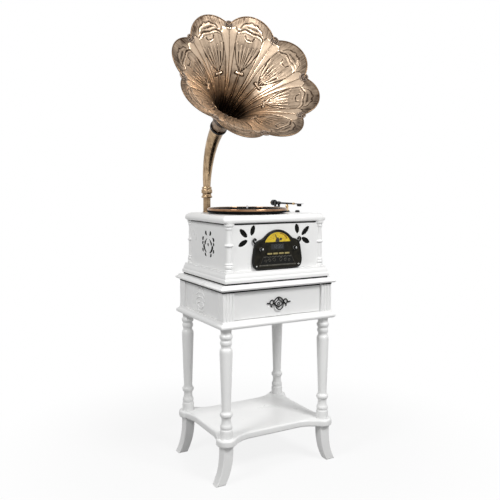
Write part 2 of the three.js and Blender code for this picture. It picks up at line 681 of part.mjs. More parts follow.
function caseBack() {
  const wall = block(-wallHalfX, caseY - CASE_WALL, caseBottom + GAP, wallHalfX, caseY, deckBottom - GAP);
  const halfX = SOCKET_WIDTH / 2 + GAP;
  const z0 = socketBottom - GAP;
  const z1 = socketBottom + SOCKET_HEIGHT + GAP;
  return cut(wall, [block(socketX - halfX, 0, z0, socketX + halfX, caseY + OVERRUN, z1)]);
}

// Teardrop curls and dots of the side fret, as tools that pass through a wall along X.
function fretTools() {
  const depth = CASE_WALL + 2 * OVERRUN;
  const tools = [];
  const through = (shape) => {
    const tool = new THREE.ExtrudeGeometry(shape, { depth, bevelEnabled: false, curveSegments: 4 });
    tool.rotateX(Math.PI / 2).rotateZ(Math.PI / 2);
    return tool.translate(-caseX - OVERRUN, FRET_Y, caseBottom + FRET_HEIGHT);
  };
  [1, -1].forEach((sign) => {
    FRET_DOT_SHARES.forEach(([y, z, r]) => {
      tools.push(through(new THREE.Shape().absarc(
        sign * y * FRET_SPAN, z * FRET_SPAN, r * FRET_SPAN, 0, 2 * Math.PI)));
    });
    FRET_CURL_SHARES.forEach(([y0, z0, y1, z1]) => {
      const thick = point(sign * y0 * FRET_SPAN, z0 * FRET_SPAN);
      const thin = point(sign * y1 * FRET_SPAN, z1 * FRET_SPAN);
      const side = thin.clone().sub(thick).rotateAround(point(0, 0), Math.PI / 2).setLength(FRET_CURL_WIDTH);
      const outer = thick.clone().addScaledVector(side, CURL_OUTER_SHARE);
      const inner = thick.clone().addScaledVector(side, -CURL_INNER_SHARE);
      const curl = new THREE.Shape().moveTo(thin.x, thin.y);
      curl.quadraticCurveTo(outer.x, outer.y, thick.x, thick.y);
      curl.quadraticCurveTo(inner.x, inner.y, thin.x, thin.y);
      tools.push(through(curl));
    });
  });
  return tools;
}

function caseSide() {
  const wall = block(-caseX, -wallHalfY, caseBottom + GAP, CASE_WALL - caseX, wallHalfY, deckBottom - GAP);
  return cut(wall, fretTools());
}

// Turned corner column with a groove for each wall, drawn for the front left corner about its own axis.
function caseColumn() {
  const height = CASE_HEIGHT - 2 * GAP;
  const column = spindleTurned(COLUMN_PROFILE_SHARES, COLUMN_RADIUS, height, COARSE);
  const face = COLUMN_INSET + GAP;
  const inner = CASE_WALL - COLUMN_INSET + GAP;
  const start = GROOVE_DEPTH - GAP;
  const end = COLUMN_RADIUS + OVERRUN;
  const frontGroove = block(start, -face, -OVERRUN, end, inner, height + OVERRUN);
  const sideGroove = block(-face, start, -OVERRUN, inner, end, height + OVERRUN);
  return cut(column, [frontGroove, sideGroove]);
}

// Deck: the moulded lid of the case, hollow below, with holes for what passes through it
function deck() {
  const board = mouldedBoard(
    DECK_WIDTH, DECK_DEPTH, deckBottom, DECK_THICKNESS, DECK_MOULD, DECK_CORNER, DECK_PROFILE_SHARES,
  );
  const halfX = caseX - CASE_WALL - OVERRUN;
  const halfY = caseY - CASE_WALL - OVERRUN;
  const under = block(-halfX, -halfY, deckBottom - OVERRUN, halfX, halfY, deckTop - DECK_BOARD);
  const low = deckBottom - OVERRUN;
  const high = deckTop + OVERRUN;
  const holes = [
    rod(SPINDLE_RADIUS + GAP, low, high).translate(PLATTER_OFFSET, 0, 0),
    rod(PULLEY_SHAFT + GAP, low, high, 12).translate(pulleyX, pulleyY, 0),
    rod(PIPE_RADIUS + GAP, low, high).translate(PIPE_X, PIPE_Y, 0),
  ];
  return cut(board, [under, ...holes]);
}

// Turntable
function platter() {
  const z0 = platterBottom;
  const web = platterTop - PLATTER_DISC;
  const skirt = PLATTER_RADIUS - SKIRT_THICKNESS;
  const bore = SPINDLE_RADIUS + GAP;
  const edge = (PLATTER_THICKNESS - PLATTER_DISC) / 4;
  return turned([
    [bore, z0], [HUB_RADIUS, z0], [HUB_RADIUS, web], [DRIVE_RADIUS - DRIVE_WALL, web],
    [DRIVE_RADIUS - DRIVE_WALL, z0], [DRIVE_RADIUS, z0], [DRIVE_RADIUS, web], [skirt, web], [skirt, z0],
    [PLATTER_RADIUS - edge, z0], [PLATTER_RADIUS, z0 + edge], [PLATTER_RADIUS, platterTop - edge],
    [PLATTER_RADIUS - edge, platterTop], [bore, platterTop], [bore, z0],
  ], FINE);
}

function platterMat() {
  const z0 = platterTop + GAP;
  const bore = SPINDLE_RADIUS + GAP;
  return turned([[bore, z0], [MAT_RADIUS, z0], [MAT_RADIUS, matTop], [bore, matTop], [bore, z0]], FINE);
}

// Spindle with the flange that carries the platter
function spindle() {
  const flangeTop = platterBottom - GAP;
  const tip = matTop + SPINDLE_TOP;
  return turned([
    [0, deckTop - SPINDLE_TAIL], [SPINDLE_RADIUS, deckTop - SPINDLE_TAIL], [SPINDLE_RADIUS, deckTop + GAP],
    [SPINDLE_FLANGE, deckTop + GAP], [SPINDLE_FLANGE, flangeTop], [SPINDLE_RADIUS, flangeTop],
    [SPINDLE_RADIUS, tip - SPINDLE_RADIUS], [SPINDLE_RADIUS / 2, tip], [0, tip],
  ]);
}

const motorTop = deckTop - DECK_BOARD - GAP;

function motor() {
  const z0 = motorTop - MOTOR_HEIGHT;
  const rim = MOTOR_RADIUS / 8;
  const bore = PULLEY_SHAFT + GAP;
  const body = turned([
    [0, z0], [MOTOR_RADIUS - rim, z0], [MOTOR_RADIUS, z0 + rim], [MOTOR_RADIUS, motorTop], [0, motorTop],
  ]);
  return cut(body, [rod(bore, motorTop - MOTOR_HEIGHT / 2, motorTop + OVERRUN, 12)]);
}

// Pulley with its thin shaft, which reaches down into the motor
function motorPulley() {
  const foot = motorTop - MOTOR_HEIGHT / 2 + GAP;
  return turned([
    [0, foot], [PULLEY_SHAFT, foot], [PULLEY_SHAFT, deckTop + GAP], [PULLEY_RADIUS, deckTop + GAP],
    [PULLEY_RADIUS, beltBottom + BELT_HEIGHT + GAP], [0, beltBottom + BELT_HEIGHT + GAP],
  ]);
}

// Flat belt round the platter's drive rim and the pulley
function driveBelt() {
  const loop = (grow) => {
    const large = DRIVE_RADIUS + GAP + grow;
    const small = PULLEY_RADIUS + GAP + grow;
    const lean = Math.acos((large - small) / PULLEY_DISTANCE);
    const turn = Math.PI / 4;
    const outline = new THREE.Shape();
    outline.absarc(PLATTER_OFFSET, 0, large, turn + lean, turn + 2 * Math.PI - lean);
    outline.absarc(pulleyX, pulleyY, small, turn - lean, turn + lean);
    return outline;
  };
  const belt = loop(BELT_THICKNESS);
  belt.holes.push(new THREE.Path(loop(0).getPoints(COARSE)));
  const options = { depth: BELT_HEIGHT, bevelEnabled: false, curveSegments: COARSE };
  return new THREE.ExtrudeGeometry(belt, options).translate(0, 0, beltBottom);
}

// Tonearm, drawn about its pivot, with the head towards -Y
function tonearmPedestal() {
  const top = PEDESTAL_HEIGHT;
  const flange = PEDESTAL_FLANGE;
  const body = turned([
    [0, GAP], [PEDESTAL_RADIUS, GAP], [PEDESTAL_RADIUS, flange], [PEDESTAL_WAIST, flange + 1.5 * flange],
    [PEDESTAL_WAIST, top], [0, top],
  ]);
  const half = EAR_SIZE / 2;
  const lugX = LEVER_OFFSET - LEVER_RADIUS - GAP;
  const lug = block(0, -half, GAP, lugX, half, LEVER_HEIGHT + EAR_SIZE);
  const pinBore = rod(YAW_PIN_RADIUS + GAP, top - YAW_PIN_LENGTH - GAP, top + OVERRUN);
  const leverBore = alongX(rod(PIVOT_RADIUS + GAP, lugX - EAR_SIZE, lugX + OVERRUN, 12));
  return cut(join(body, [lug]), [pinBore, leverBore.translate(0, 0, LEVER_HEIGHT)]);
}

function tonearmYoke() {
  const inner = ARM_BLOCK / 2 + YOKE_GAP;
  const outer = inner + YOKE_CHEEK;
  const z0 = PEDESTAL_HEIGHT + GAP;
  const halfY = YOKE_DEPTH / 2;
  const body = block(-outer, -halfY, z0, outer, halfY, ARM_HEIGHT + halfY);
  const cutY = halfY + OVERRUN;
  const cutX = outer + OVERRUN;
  const slot = block(-inner, -cutY, z0 + YOKE_FLOOR, inner, cutY, ARM_HEIGHT + cutY);
  const pivot = alongX(rod(PIVOT_RADIUS + GAP, -cutX, cutX, 12)).translate(0, 0, ARM_HEIGHT);
  const pin = rod(YAW_PIN_RADIUS, PEDESTAL_HEIGHT - YAW_PIN_LENGTH, z0 + YOKE_FLOOR / 2);
  return join(cut(body, [slot, pivot]), [pin]);
}

function tonearmTube() {
  const tube = towardsFront(rod(ARM_TUBE_RADIUS, 0, ARM_TUBE_LENGTH, 12));
  const tail = towardsFront(rod(ARM_TAIL_RADIUS, -ARM_TAIL, 0, 16));
  const pin = ARM_BLOCK / 2 + YOKE_GAP + YOKE_CHEEK - GAP;
  const pins = alongX(rod(PIVOT_RADIUS, -pin, pin, 12));
  const half = ARM_BLOCK / 2;
  return join(block(-half, -half, -half, half, half, half), [tube, tail, pins]);
}

function counterweight() {
  const bore = ARM_TAIL_RADIUS + GAP;
  const rim = WEIGHT_RADIUS / 8;
  const z0 = WEIGHT_FRONT;
  const z1 = WEIGHT_FRONT + WEIGHT_LENGTH;
  return turned([
    [bore, z0], [WEIGHT_RADIUS - rim, z0], [WEIGHT_RADIUS, z0 + rim], [WEIGHT_RADIUS, z1 - rim],
    [WEIGHT_RADIUS - rim, z1], [bore, z1], [bore, z0],
  ]).rotateX(-Math.PI / 2);
}

// Headshell with its finger lift, and the cartridge and stylus under it
function headshell() {
  const half = HEADSHELL_WIDTH / 2;
  const neck = ARM_TUBE_RADIUS + GAP;
  const back = -ARM_TUBE_LENGTH - GAP;
  const front = back - HEADSHELL_LENGTH;
  const plateBottom = -HEADSHELL_THICKNESS / 2;
  const outline = new THREE.Shape([
    point(-neck, -back), point(-half, -back + half), point(-half, -front - neck), point(-neck, -front),
    point(neck, -front), point(half, -front - neck), point(half, -back + half), point(neck, -back),
  ].reverse());
  const options = { depth: HEADSHELL_THICKNESS, bevelEnabled: false };
  const plate = new THREE.ExtrudeGeometry(outline, options).rotateX(Math.PI);
  plate.translate(0, 0, -plateBottom);
  const drop = ARM_HEIGHT - (matTop - deckTop) - RECORD_THICKNESS - GAP; // arm axis to the stylus tip
  const tipLength = drop / 5;
  const bodyBottom = tipLength - drop;
  const cartridgeY = -ARM_REACH - CARTRIDGE_LENGTH / 4;
  const body = block(
    -CARTRIDGE_WIDTH / 2, cartridgeY - CARTRIDGE_LENGTH / 4, bodyBottom,
    CARTRIDGE_WIDTH / 2, cartridgeY + 0.75 * CARTRIDGE_LENGTH, 0,
  );
  const stylus = turned([[0, -drop], [NEEDLE_THICKNESS, bodyBottom], [0, bodyBottom + GAP]], 8);
  const lift = block(half - neck, front + neck, plateBottom, half + 2 * neck, front + 2 * neck, -plateBottom);
  return join(plate, [body, stylus.translate(0, -ARM_REACH, 0), lift]);
}

// Rest post: the parked arm lies over it, against a lip on its outer side
function armRest() {
  const seat = ARM_HEIGHT - ARM_TUBE_RADIUS - GAP;
  const post = turned([
    [0, GAP], [REST_BASE, GAP], [REST_BASE, REST_BASE_HEIGHT], [REST_RADIUS, REST_BASE_HEIGHT + GAP],
    [REST_RADIUS, seat], [0, seat],
  ], 16);
  const lipX = ARM_TUBE_RADIUS + GAP;
  const half = REST_RADIUS / 2;
  const lip = block(lipX, -half, seat - REST_LIP, lipX + half, half, ARM_HEIGHT + ARM_TUBE_RADIUS);
  const arm = block(0, -half, seat - REST_LIP, lipX + half, half, seat);
  return join(post, [lip, arm]);
}

function liftLever() {
  const pin = alongX(rod(PIVOT_RADIUS, -EAR_SIZE - LEVER_RADIUS, 0, 12));
  const stem = towardsFront(rod(LEVER_RADIUS, -LEVER_RADIUS, LEVER_LENGTH, 12));
  const knob = towardsFront(turned([
    [0, LEVER_LENGTH - LEVER_RADIUS], [2 * LEVER_RADIUS, LEVER_LENGTH],
    [2 * LEVER_RADIUS, LEVER_LENGTH + LEVER_RADIUS], [0, LEVER_LENGTH + 2 * LEVER_RADIUS],
  ], 12));
  return join(stem, [pin, knob]);
}

// Speed selector: a low round knob with a pointer towards -Y
function speedSelector() {
  const knob = turned([
    [0, GAP], [SPEED_RADIUS, GAP], [SPEED_RADIUS, SPEED_HEIGHT / 2],
    [SPEED_RADIUS - LEVER_RADIUS, SPEED_HEIGHT],
    [0, SPEED_HEIGHT],
  ]);
  const half = LEVER_RADIUS;
  const pointer = block(-half, -SPEED_LEVER, SPEED_HEIGHT / 4, half, 0, SPEED_HEIGHT - LEVER_RADIUS);
  return join(knob, [pointer]);
}

// Radio panel outline, seen from the front
function fasciaShape() {
  const half = FASCIA_WIDTH / 2;
  const right = FASCIA_OUTLINE_SHARES.map(([x, z]) => point(x * half, fasciaBottom + z * FASCIA_HEIGHT));
  const left = right.slice(0, -1).reverse().map((p) => point(-p.x, p.y));
  return new THREE.Shape([...right, ...left]);
}

// Round-topped dial window: a segment of a circle that stands on its chord
function dialShape(shrink) {
  const radius = DIAL_RADIUS;
  const sink = (radius ** 2 - DIAL_HEIGHT ** 2) / (2 * DIAL_HEIGHT);
  const big = DIAL_HEIGHT + sink - shrink;
  const start = Math.asin((sink + shrink) / big);
  return new THREE.Shape().absarc(0, dialFoot - sink, big, start, Math.PI - start);
}

const frontRect = (x, z, width, height) => new THREE.Shape([
  point(x - width / 2, z), point(x + width / 2, z),
  point(x + width / 2, z + height), point(x - width / 2, z + height),
]);

const buttonX = (k) => (k - (BUTTON_COUNT - 1) / 2) * BUTTON_PITCH;

function radioFascia() {
  const back = fasciaFace + FASCIA_THICKNESS;
  const y0 = fasciaFace - OVERRUN;
  const y1 = back + OVERRUN;
  const knobs = [-1, 1].map((sign) => towardsFront(rod(KNOB_SHAFT + GAP, -y1, -y0, 16))
    .translate((sign * KNOB_SPACING) / 2, 0, fasciaBottom + KNOB_BASE));
  const buttons = Array.from({ length: BUTTON_COUNT }, (_, k) => upright(
    frontRect(buttonX(k), fasciaBottom + BUTTON_BASE, BUTTON_WIDTH + 2 * GAP, BUTTON_HEIGHT + 2 * GAP),
    y0, y1));
  const [[topX, topZ], [lowX, lowZ]] = TRAY_PANEL_SHARES;
  const half = FASCIA_WIDTH / 2;
  const panel = new THREE.Shape([
    point(-lowX * half, fasciaBottom + lowZ * FASCIA_HEIGHT),
    point(lowX * half, fasciaBottom + lowZ * FASCIA_HEIGHT),
    point(topX * half, fasciaBottom + topZ * FASCIA_HEIGHT),
    point(-topX * half, fasciaBottom + topZ * FASCIA_HEIGHT),
  ]);
  return cut(upright(fasciaShape(), fasciaFace, back), [
    upright(dialShape(0), y0, y1, 10),
    upright(frontRect(0, fasciaBottom + LCD_BASE, LCD_WIDTH, LCD_HEIGHT), y0, y1),
    upright(panel, y0, fasciaFace + TRAY_PANEL_DEPTH),
    ...knobs,
    ...buttons,
  ]);
}

const dialFront = fasciaFace + DIAL_RECESS;
const needleZ = dialFoot + NEEDLE_HUB / 2 + GAP;

function dialPlate() {
  const plate = upright(dialShape(GAP), dialFront, -caseY - GAP, 10);
  const bore = towardsFront(rod(NEEDLE_THICKNESS + GAP, caseY - OVERRUN, -dialFront + OVERRUN, 12));
  return cut(plate, [bore.translate(0, 0, needleZ)]);
}

// Needle with its hub and the thin arbor that turns it, drawn about its axis
function dialNeedle() {
  const back = -caseY - 2 * GAP;
  const arbor = towardsFront(rod(NEEDLE_THICKNESS, -back, -dialFront + GAP, 12));
  const hub = towardsFront(rod(NEEDLE_HUB / 2, -dialFront + GAP, -dialFront + GAP + NEEDLE_THICKNESS, 12));
  const half = NEEDLE_WIDTH / 2;
  const blade = new THREE.Shape([
    point(-half, 0), point(half, 0), point(half / 2, NEEDLE_LENGTH), point(-half / 2, NEEDLE_LENGTH),
  ]);
  const y1 = dialFront - GAP;
  const pointer = upright(blade, y1 - NEEDLE_THICKNESS, y1).rotateY(-radians(NEEDLE_LEAN));
  return join(arbor, [hub, pointer]);
}

function lcdWindow() {
  const shape = frontRect(0, fasciaBottom + LCD_BASE + GAP, LCD_WIDTH - 2 * GAP, LCD_HEIGHT - 2 * GAP);
  return upright(shape, dialFront, -caseY - GAP);
}

function frontKnob() {
  const z0 = -fasciaFace + GAP;
  const z1 = z0 + KNOB_LENGTH;
  const rim = KNOB_RADIUS / 6;
  return towardsFront(turned([
    [0, caseY + 2 * GAP], [KNOB_SHAFT, caseY + 2 * GAP], [KNOB_SHAFT, z0], [KNOB_RADIUS, z0],
    [KNOB_RADIUS, z0 + 2 * rim], [KNOB_RADIUS - rim, z0 + 3 * rim], [KNOB_RADIUS - rim, z1 - rim],
    [KNOB_RADIUS - 2 * rim, z1], [0, z1],
  ]));
}

function pushButton(k) {
  const shape = frontRect(buttonX(k), fasciaBottom + BUTTON_BASE + GAP, BUTTON_WIDTH, BUTTON_HEIGHT);
  return upright(shape, fasciaFace - BUTTON_PROUD, -caseY - GAP - BUTTON_TRAVEL);
}

// Black cloth board behind the front wall, loudspeakers behind the frets, and the amplifier
function grilleBoard() {
  const halfX = wallHalfX - GRILLE_MARGIN;
  const y0 = CASE_WALL - caseY + GAP;
  const z0 = caseBottom + GRILLE_MARGIN;
  return block(-halfX, y0, z0, halfX, y0 + GRILLE_THICKNESS, deckBottom - GRILLE_MARGIN / 2);
}

function loudspeaker() {
  const rim = SPEAKER_DEPTH / 8;
  const cone = SPEAKER_DEPTH / 2;
  return alongX(turned([
    [0, cone - rim], [SPEAKER_MAGNET / 2, cone - rim], [SPEAKER_RADIUS - rim, 0], [SPEAKER_RADIUS, 0],
    [SPEAKER_RADIUS, rim], [SPEAKER_MAGNET, cone], [SPEAKER_MAGNET, SPEAKER_DEPTH], [0, SPEAKER_DEPTH],
  ]));
}

const socketX = AMP_WIDTH / 4;
const ampBottom = TABLE_HEIGHT + PLINTH_FLOOR + GAP;
const socketBottom = caseBottom + SOCKET_HEIGHT;

// Circuit board on standoffs, with a heat sink and the mains socket that reaches through the back wall
function amplifierBoard() {
  const back = caseY - CASE_WALL - GAP - AMP_LIFT;
  const z0 = ampBottom + AMP_LIFT;
  const board = block(-AMP_WIDTH / 2, back - AMP_DEPTH, z0, AMP_WIDTH / 2, back, z0 + AMP_BOARD);
  const feet = corners.map(([, sx, sy]) => rod(AMP_LIFT / 2, ampBottom, z0 + AMP_BOARD / 2, 12)
    .translate(sx * (AMP_WIDTH / 2 - AMP_LIFT), back - AMP_DEPTH / 2 + sy * (AMP_DEPTH / 2 - AMP_LIFT), 0));
  const sinkHeight = SOCKET_HEIGHT;
  const sink = block(-AMP_WIDTH / 4, back - AMP_DEPTH / 2, z0, 0, back - AMP_DEPTH / 4, z0 + sinkHeight);
  const half = SOCKET_WIDTH / 2;
  const socketTop = socketBottom + SOCKET_HEIGHT;
  const post = block(socketX - half, back - SOCKET_HEIGHT, z0, socketX + half, back, socketTop);
  const socket = block(socketX - half, back - GAP, socketBottom, socketX + half, caseY, socketTop);
  const wall = SOCKET_WIDTH / 8;
  const recess = block(
    socketX - half + wall, caseY - CASE_WALL, socketBottom + wall,
    socketX + half - wall, caseY + OVERRUN, socketBottom + SOCKET_HEIGHT - wall,
  );
  return cut(join(board, [...feet, sink, post, socket]), [recess]);
}

// Horn
// Upright pipe with the beaded collar that holds the elbow, drawn about its axis
function hornPipe() {
  const bore = PIPE_RADIUS - PIPE_WALL;
  const socket = PIPE_RADIUS + GAP;
  const z0 = deckBottom + OVERRUN;
  const low = collarTop - COLLAR_HEIGHT;
  const bead = COLLAR_HEIGHT / 5;
  const waist = (COLLAR_RADIUS + PIPE_RADIUS) / 2;
  return turned([
    [bore, z0], [PIPE_RADIUS, z0], [PIPE_RADIUS, low], [waist, low], [COLLAR_RADIUS, low + bead / 2],
    [waist, low + bead], [waist, low + 2 * bead],
    [COLLAR_RADIUS, low + 2.5 * bead], [COLLAR_RADIUS, low + 3.5 * bead],
    [waist, low + 4 * bead], [waist + GAP, collarTop],
    [socket, collarTop], [socket, collarTop - SOCKET_DEPTH],
    [bore, collarTop - SOCKET_DEPTH], [bore, z0],
  ]);
}

const bend = radians(ELBOW_BEND);
const elbowFoot = collarTop - SOCKET_DEPTH + GAP;

// Centre and direction of the elbow's centre line at a share of its bend.
function elbowFrame(share) {
  const turn = share * bend;
  const reach = ELBOW_RADIUS * (1 - Math.cos(turn));
  const centre = new THREE.Vector3(0, -reach, collarTop + ELBOW_RADIUS * Math.sin(turn));
  return new THREE.Matrix4().makeRotationX(turn).setPosition(centre);
}

const circleRing = (radius, sides, frame) => Array.from({ length: sides }, (_, i) => {
  const angle = (2 * Math.PI * i) / sides;
  return new THREE.Vector3(radius * Math.cos(angle), radius * Math.sin(angle), 0).applyMatrix4(frame);
});

// Tapered bent tube, straight where it stands in the collar
function hornElbow() {
  const outer = [circleRing(PIPE_RADIUS, ELBOW_SIDES, new THREE.Matrix4().setPosition(0, 0, elbowFoot))];
  const foot = new THREE.Matrix4().setPosition(0, 0, elbowFoot);
  const inner = [circleRing(PIPE_RADIUS - PIPE_WALL, ELBOW_SIDES, foot)];
  for (let k = 0; k <= ELBOW_STEPS; k++) {
    const share = k / ELBOW_STEPS;
    const radius = THREE.MathUtils.lerp(PIPE_RADIUS, NECK_RADIUS, share);
    const wall = THREE.MathUtils.lerp(PIPE_WALL, NECK_WALL, share);
    outer.push(circleRing(radius, ELBOW_SIDES, elbowFrame(share)));
    inner.push(circleRing(radius - wall, ELBOW_SIDES, elbowFrame(share)));
  }
  return loft([...outer, ...inner.reverse()], true);
}

// Black ring over the joint of elbow and bell
function jointRing() {
  const bore = (NECK_RADIUS + GAP) / Math.cos(Math.PI / ROUND); // clear of the flats between its sides
  const half = RING_LENGTH / 2;
  const edge = (RING_RADIUS - bore) / 2;
  return turned([
    [bore, -half], [RING_RADIUS - edge, -half], [RING_RADIUS, edge - half], [RING_RADIUS, half - edge],
    [RING_RADIUS - edge, half], [bore, half], [bore, -half],
  ]);
}

// Rim radius of the petals at an angle from a petal's middle.
function rimRadius(angle) {
  const along = LOBE_DISTANCE * Math.cos(angle);
  const across = LOBE_DISTANCE * Math.sin(angle);
  return along + Math.sqrt(LOBE_RADIUS ** 2 - across ** 2);
}

const notchAngle = Math.PI / PETAL_COUNT;
const lobeShare = (angle) =>
  (rimRadius(angle) - rimRadius(notchAngle)) / (rimRadius(0) - rimRadius(notchAngle));

// Radius and height of the bell's middle surface, at a share of its length and an angle within a petal.
function bellPoint(lengthShare, growthShare, angle) {
  const lobe = lobeShare(angle) * lengthShare ** LOBE_GROWTH_POWER;
  const radius = THREE.MathUtils.lerp(FERRULE_RADIUS, BELL_RADIUS, growthShare);
  const rimStretch = rimRadius(0) / BELL_RADIUS - 1;
  const advance = PETAL_ADVANCE * lobe * lengthShare;
  const height = THREE.MathUtils.lerp(FERRULE_LENGTH, BELL_LENGTH, lengthShare) + advance;
  return point(radius * (1 + rimStretch * lobe), height);
}

// The bell's profile at a width share and angle: up the outside, round the rolled rim and down the inside.
function bellProfile(column, angle) {
  const half = BELL_WALL / 2;
  const middle = BELL_PROFILE_SHARES.map(([along, growth]) => bellPoint(along, growth, angle));
  const seat = RING_LENGTH / 2 + GAP;
  const shoulder = FERRULE_LENGTH - RIM_RADIUS;
  const neck = [point(NECK_RADIUS, GAP), point(NECK_RADIUS, seat), point(FERRULE_RADIUS, shoulder)];
  const outer = neck.map((p) => p.clone());
  const inner = neck.map((p) => point(p.x - NECK_WALL, p.y));
  middle.forEach((p, k) => {
    const before = middle[Math.max(k - 1, 0)];
    const after = middle[Math.min(k + 1, middle.length - 1)];
    const along = after.clone().sub(before).normalize();
    const out = point(along.y, -along.x);
    const pressed = PETAL_RELIEF * BELL_PROFILE_SHARES[k][2][column];
    if (k < middle.length - 1) {
      outer.push(p.clone().addScaledVector(out, half - pressed));
      inner.push(p.clone().addScaledVector(out, -half - pressed));
    } else {
      for (let step = 0; step <= 4; step++) {
        const turn = Math.PI * (step / 4);
        const around = out.clone().multiplyScalar(Math.cos(turn)).addScaledVector(along, Math.sin(turn));
        outer.push(p.clone().addScaledVector(around, RIM_RADIUS));
      }
    }
  });
  return [...outer, ...inner.reverse()];
}

// The profiles of one petal, from its first seam up to, and without, its second.
function petalProfiles(petal) {
  const last = PETAL_WIDTH_SHARES.length - 1;
  return Array.from({ length: 2 * last }, (_, i) => {
    const column = Math.abs(last - i);
    const angle = Math.sign(i - last) * PETAL_WIDTH_SHARES[column] * notchAngle;
    return { turn: (2 * petal + 1) * notchAngle + angle, line: bellProfile(column, angle) };
  });
}

function hornBell() {
  const profiles = Array.from({ length: PETAL_COUNT }, (_, petal) => petalProfiles(petal)).flat();
  const rings = profiles[0].line.map((_, row) => profiles.map(({ turn, line }) => (
    new THREE.Vector3(line[row].x * Math.cos(turn), line[row].x * Math.sin(turn), line[row].y)
  )));
  const medallions = Array.from({ length: PETAL_COUNT }, (_, k) => {
    const disc = rod(MEDALLION_RADIUS, -MEDALLION_THICKNESS / 2, MEDALLION_THICKNESS / 2, 10);
    disc.rotateY(-radians(MEDALLION_TILT)).translate(BELL_RADIUS, 0, BELL_LENGTH);
    return disc.rotateZ(2 * notchAngle * k);
  });
  return join(loft(rings, true), medallions).rotateZ(radians(BELL_ROLL));
}

// Table
add("table_top", tableTop(), whitePaint);
add("base_board", baseBoard(), whitePaint);
add("apron_left", apronSide(), whitePaint);
add("apron_right", apronSide().rotateZ(Math.PI), whitePaint);
add("apron_back", apronBack(), whitePaint);
corners.forEach(([name, sx, sy]) => {
  const leg = spindleTurned(LEG_PROFILE_SHARES, LEG_RADIUS, baseBottom - SHELF_HEIGHT - GAP, COARSE);
  add("leg_" + name, leg, whitePaint, sx * legX, sy * legY, SHELF_HEIGHT);
  const foot = sx < 0 ? sabreFoot() : sabreFoot().rotateZ(Math.PI);
  add("foot_" + name, foot, whitePaint, sx * legX, sy * legY);
});
add("shelf", tableShelf(), whitePaint);
add("drawer_front", drawerFront(), whitePaint);
add("drawer_box", drawerBox(), rawBoard);
add("pull_plate", pullPlate(), blackMetal, 0, 0, pullZ);
add("pull_bail", pullBail(), blackMetal, 0, bailY, pullZ);

// Player case
add("plinth", plinth(), whitePaint);
add("case_front", caseFront(), whitePaint);
add("case_back", caseBack(), whitePaint);
add("case_left", caseSide(), whitePaint);
add("case_right", caseSide(), whitePaint).scale.x = -1;
corners.forEach(([name, sx, sy]) => {
  const columnZ = caseBottom + GAP;
  const column = add("column_" + name, caseColumn(), whitePaint, sx * columnX, sy * columnY, columnZ);
  column.scale.set(-sx, -sy, 1);
});
add("deck", deck(), whitePaint);
add("grille_board", grilleBoard(), blackCloth);
const speakerX = caseX - CASE_WALL - GAP;
const speakerZ = caseBottom + FRET_HEIGHT;
add("speaker_left", loudspeaker(), blackPlastic, -speakerX, FRET_Y, speakerZ);
add("speaker_right", loudspeaker().rotateZ(Math.PI), blackPlastic, speakerX, FRET_Y, speakerZ);
add("amplifier_board", amplifierBoard(), circuitGreen);

// Turntable
add("platter", platter(), copper, PLATTER_OFFSET);
add("platter_mat", platterMat(), blackRubber, PLATTER_OFFSET);
add("spindle", spindle(), steel, PLATTER_OFFSET);
add("motor", motor(), steel, pulleyX, pulleyY);
add("motor_pulley", motorPulley(), brass, pulleyX, pulleyY);
add("drive_belt", driveBelt(), blackRubber);

// Tonearm
const arm = new THREE.Group();
arm.position.set(ARM_X, ARM_Y, deckTop);
part.add(arm);
add("tonearm_pedestal", tonearmPedestal(), blackPlastic, 0, 0, 0, arm);
add("tonearm_yoke", tonearmYoke(), blackMetal, 0, 0, 0, arm);
add("tonearm_tube", tonearmTube(), brass, 0, 0, ARM_HEIGHT, arm);
add("counterweight", counterweight(), blackMetal, 0, 0, ARM_HEIGHT, arm);
add("headshell", headshell(), blackPlastic, 0, 0, ARM_HEIGHT, arm);
add("lift_lever", liftLever(), blackMetal, LEVER_OFFSET, 0, LEVER_HEIGHT, arm);
add("arm_rest", armRest(), blackPlastic, ARM_X, REST_Y, deckTop);
add("speed_selector", speedSelector(), blackPlastic, SPEED_X, SPEED_Y, deckTop);

// Radio
add("radio_fascia", radioFascia(), darkBronze);
add("dial_plate", dialPlate(), dialYellow);
add("dial_needle", dialNeedle(), blackMetal, 0, 0, needleZ);
add("lcd_window", lcdWindow(), lcdGlass);
add("volume_knob", frontKnob(), silver, -KNOB_SPACING / 2, 0, fasciaBottom + KNOB_BASE);
add("tuning_knob", frontKnob(), silver, KNOB_SPACING / 2, 0, fasciaBottom + KNOB_BASE);
for (let k = 0; k < BUTTON_COUNT; k++) {
  add("button_" + (k + 1), pushButton(k), gold);
}

// Horn: the swivel turns about the pipe, and the mouth follows the end of the elbow
add("horn_pipe", hornPipe(), brass, PIPE_X, PIPE_Y);
const swivel = new THREE.Group();
swivel.position.set(PIPE_X, PIPE_Y, 0);
swivel.rotation.z = radians(HORN_TURN);
part.add(swivel);
add("horn_elbow", hornElbow(), brass, 0, 0, 0, swivel);
const mouth = new THREE.Group();
elbowFrame(1).decompose(mouth.position, mouth.quaternion, mouth.scale);
swivel.add(mouth);
add("joint_ring", jointRing(), blackMetal, 0, 0, 0, mouth);
add("horn_bell", hornBell(), brass, 0, 0, 0, mouth);

// The part's origin lies under the middle of its whole box, on the floor.
part.updateMatrixWorld(true);
const middle = new THREE.Box3().setFromObject(part, true).getCenter(new THREE.Vector3());
part.position.set(-middle.x, -middle.y, 0);

export default part;
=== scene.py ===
import math

import bmesh
import bpy
import numpy as np
from mathutils import Matrix, Vector


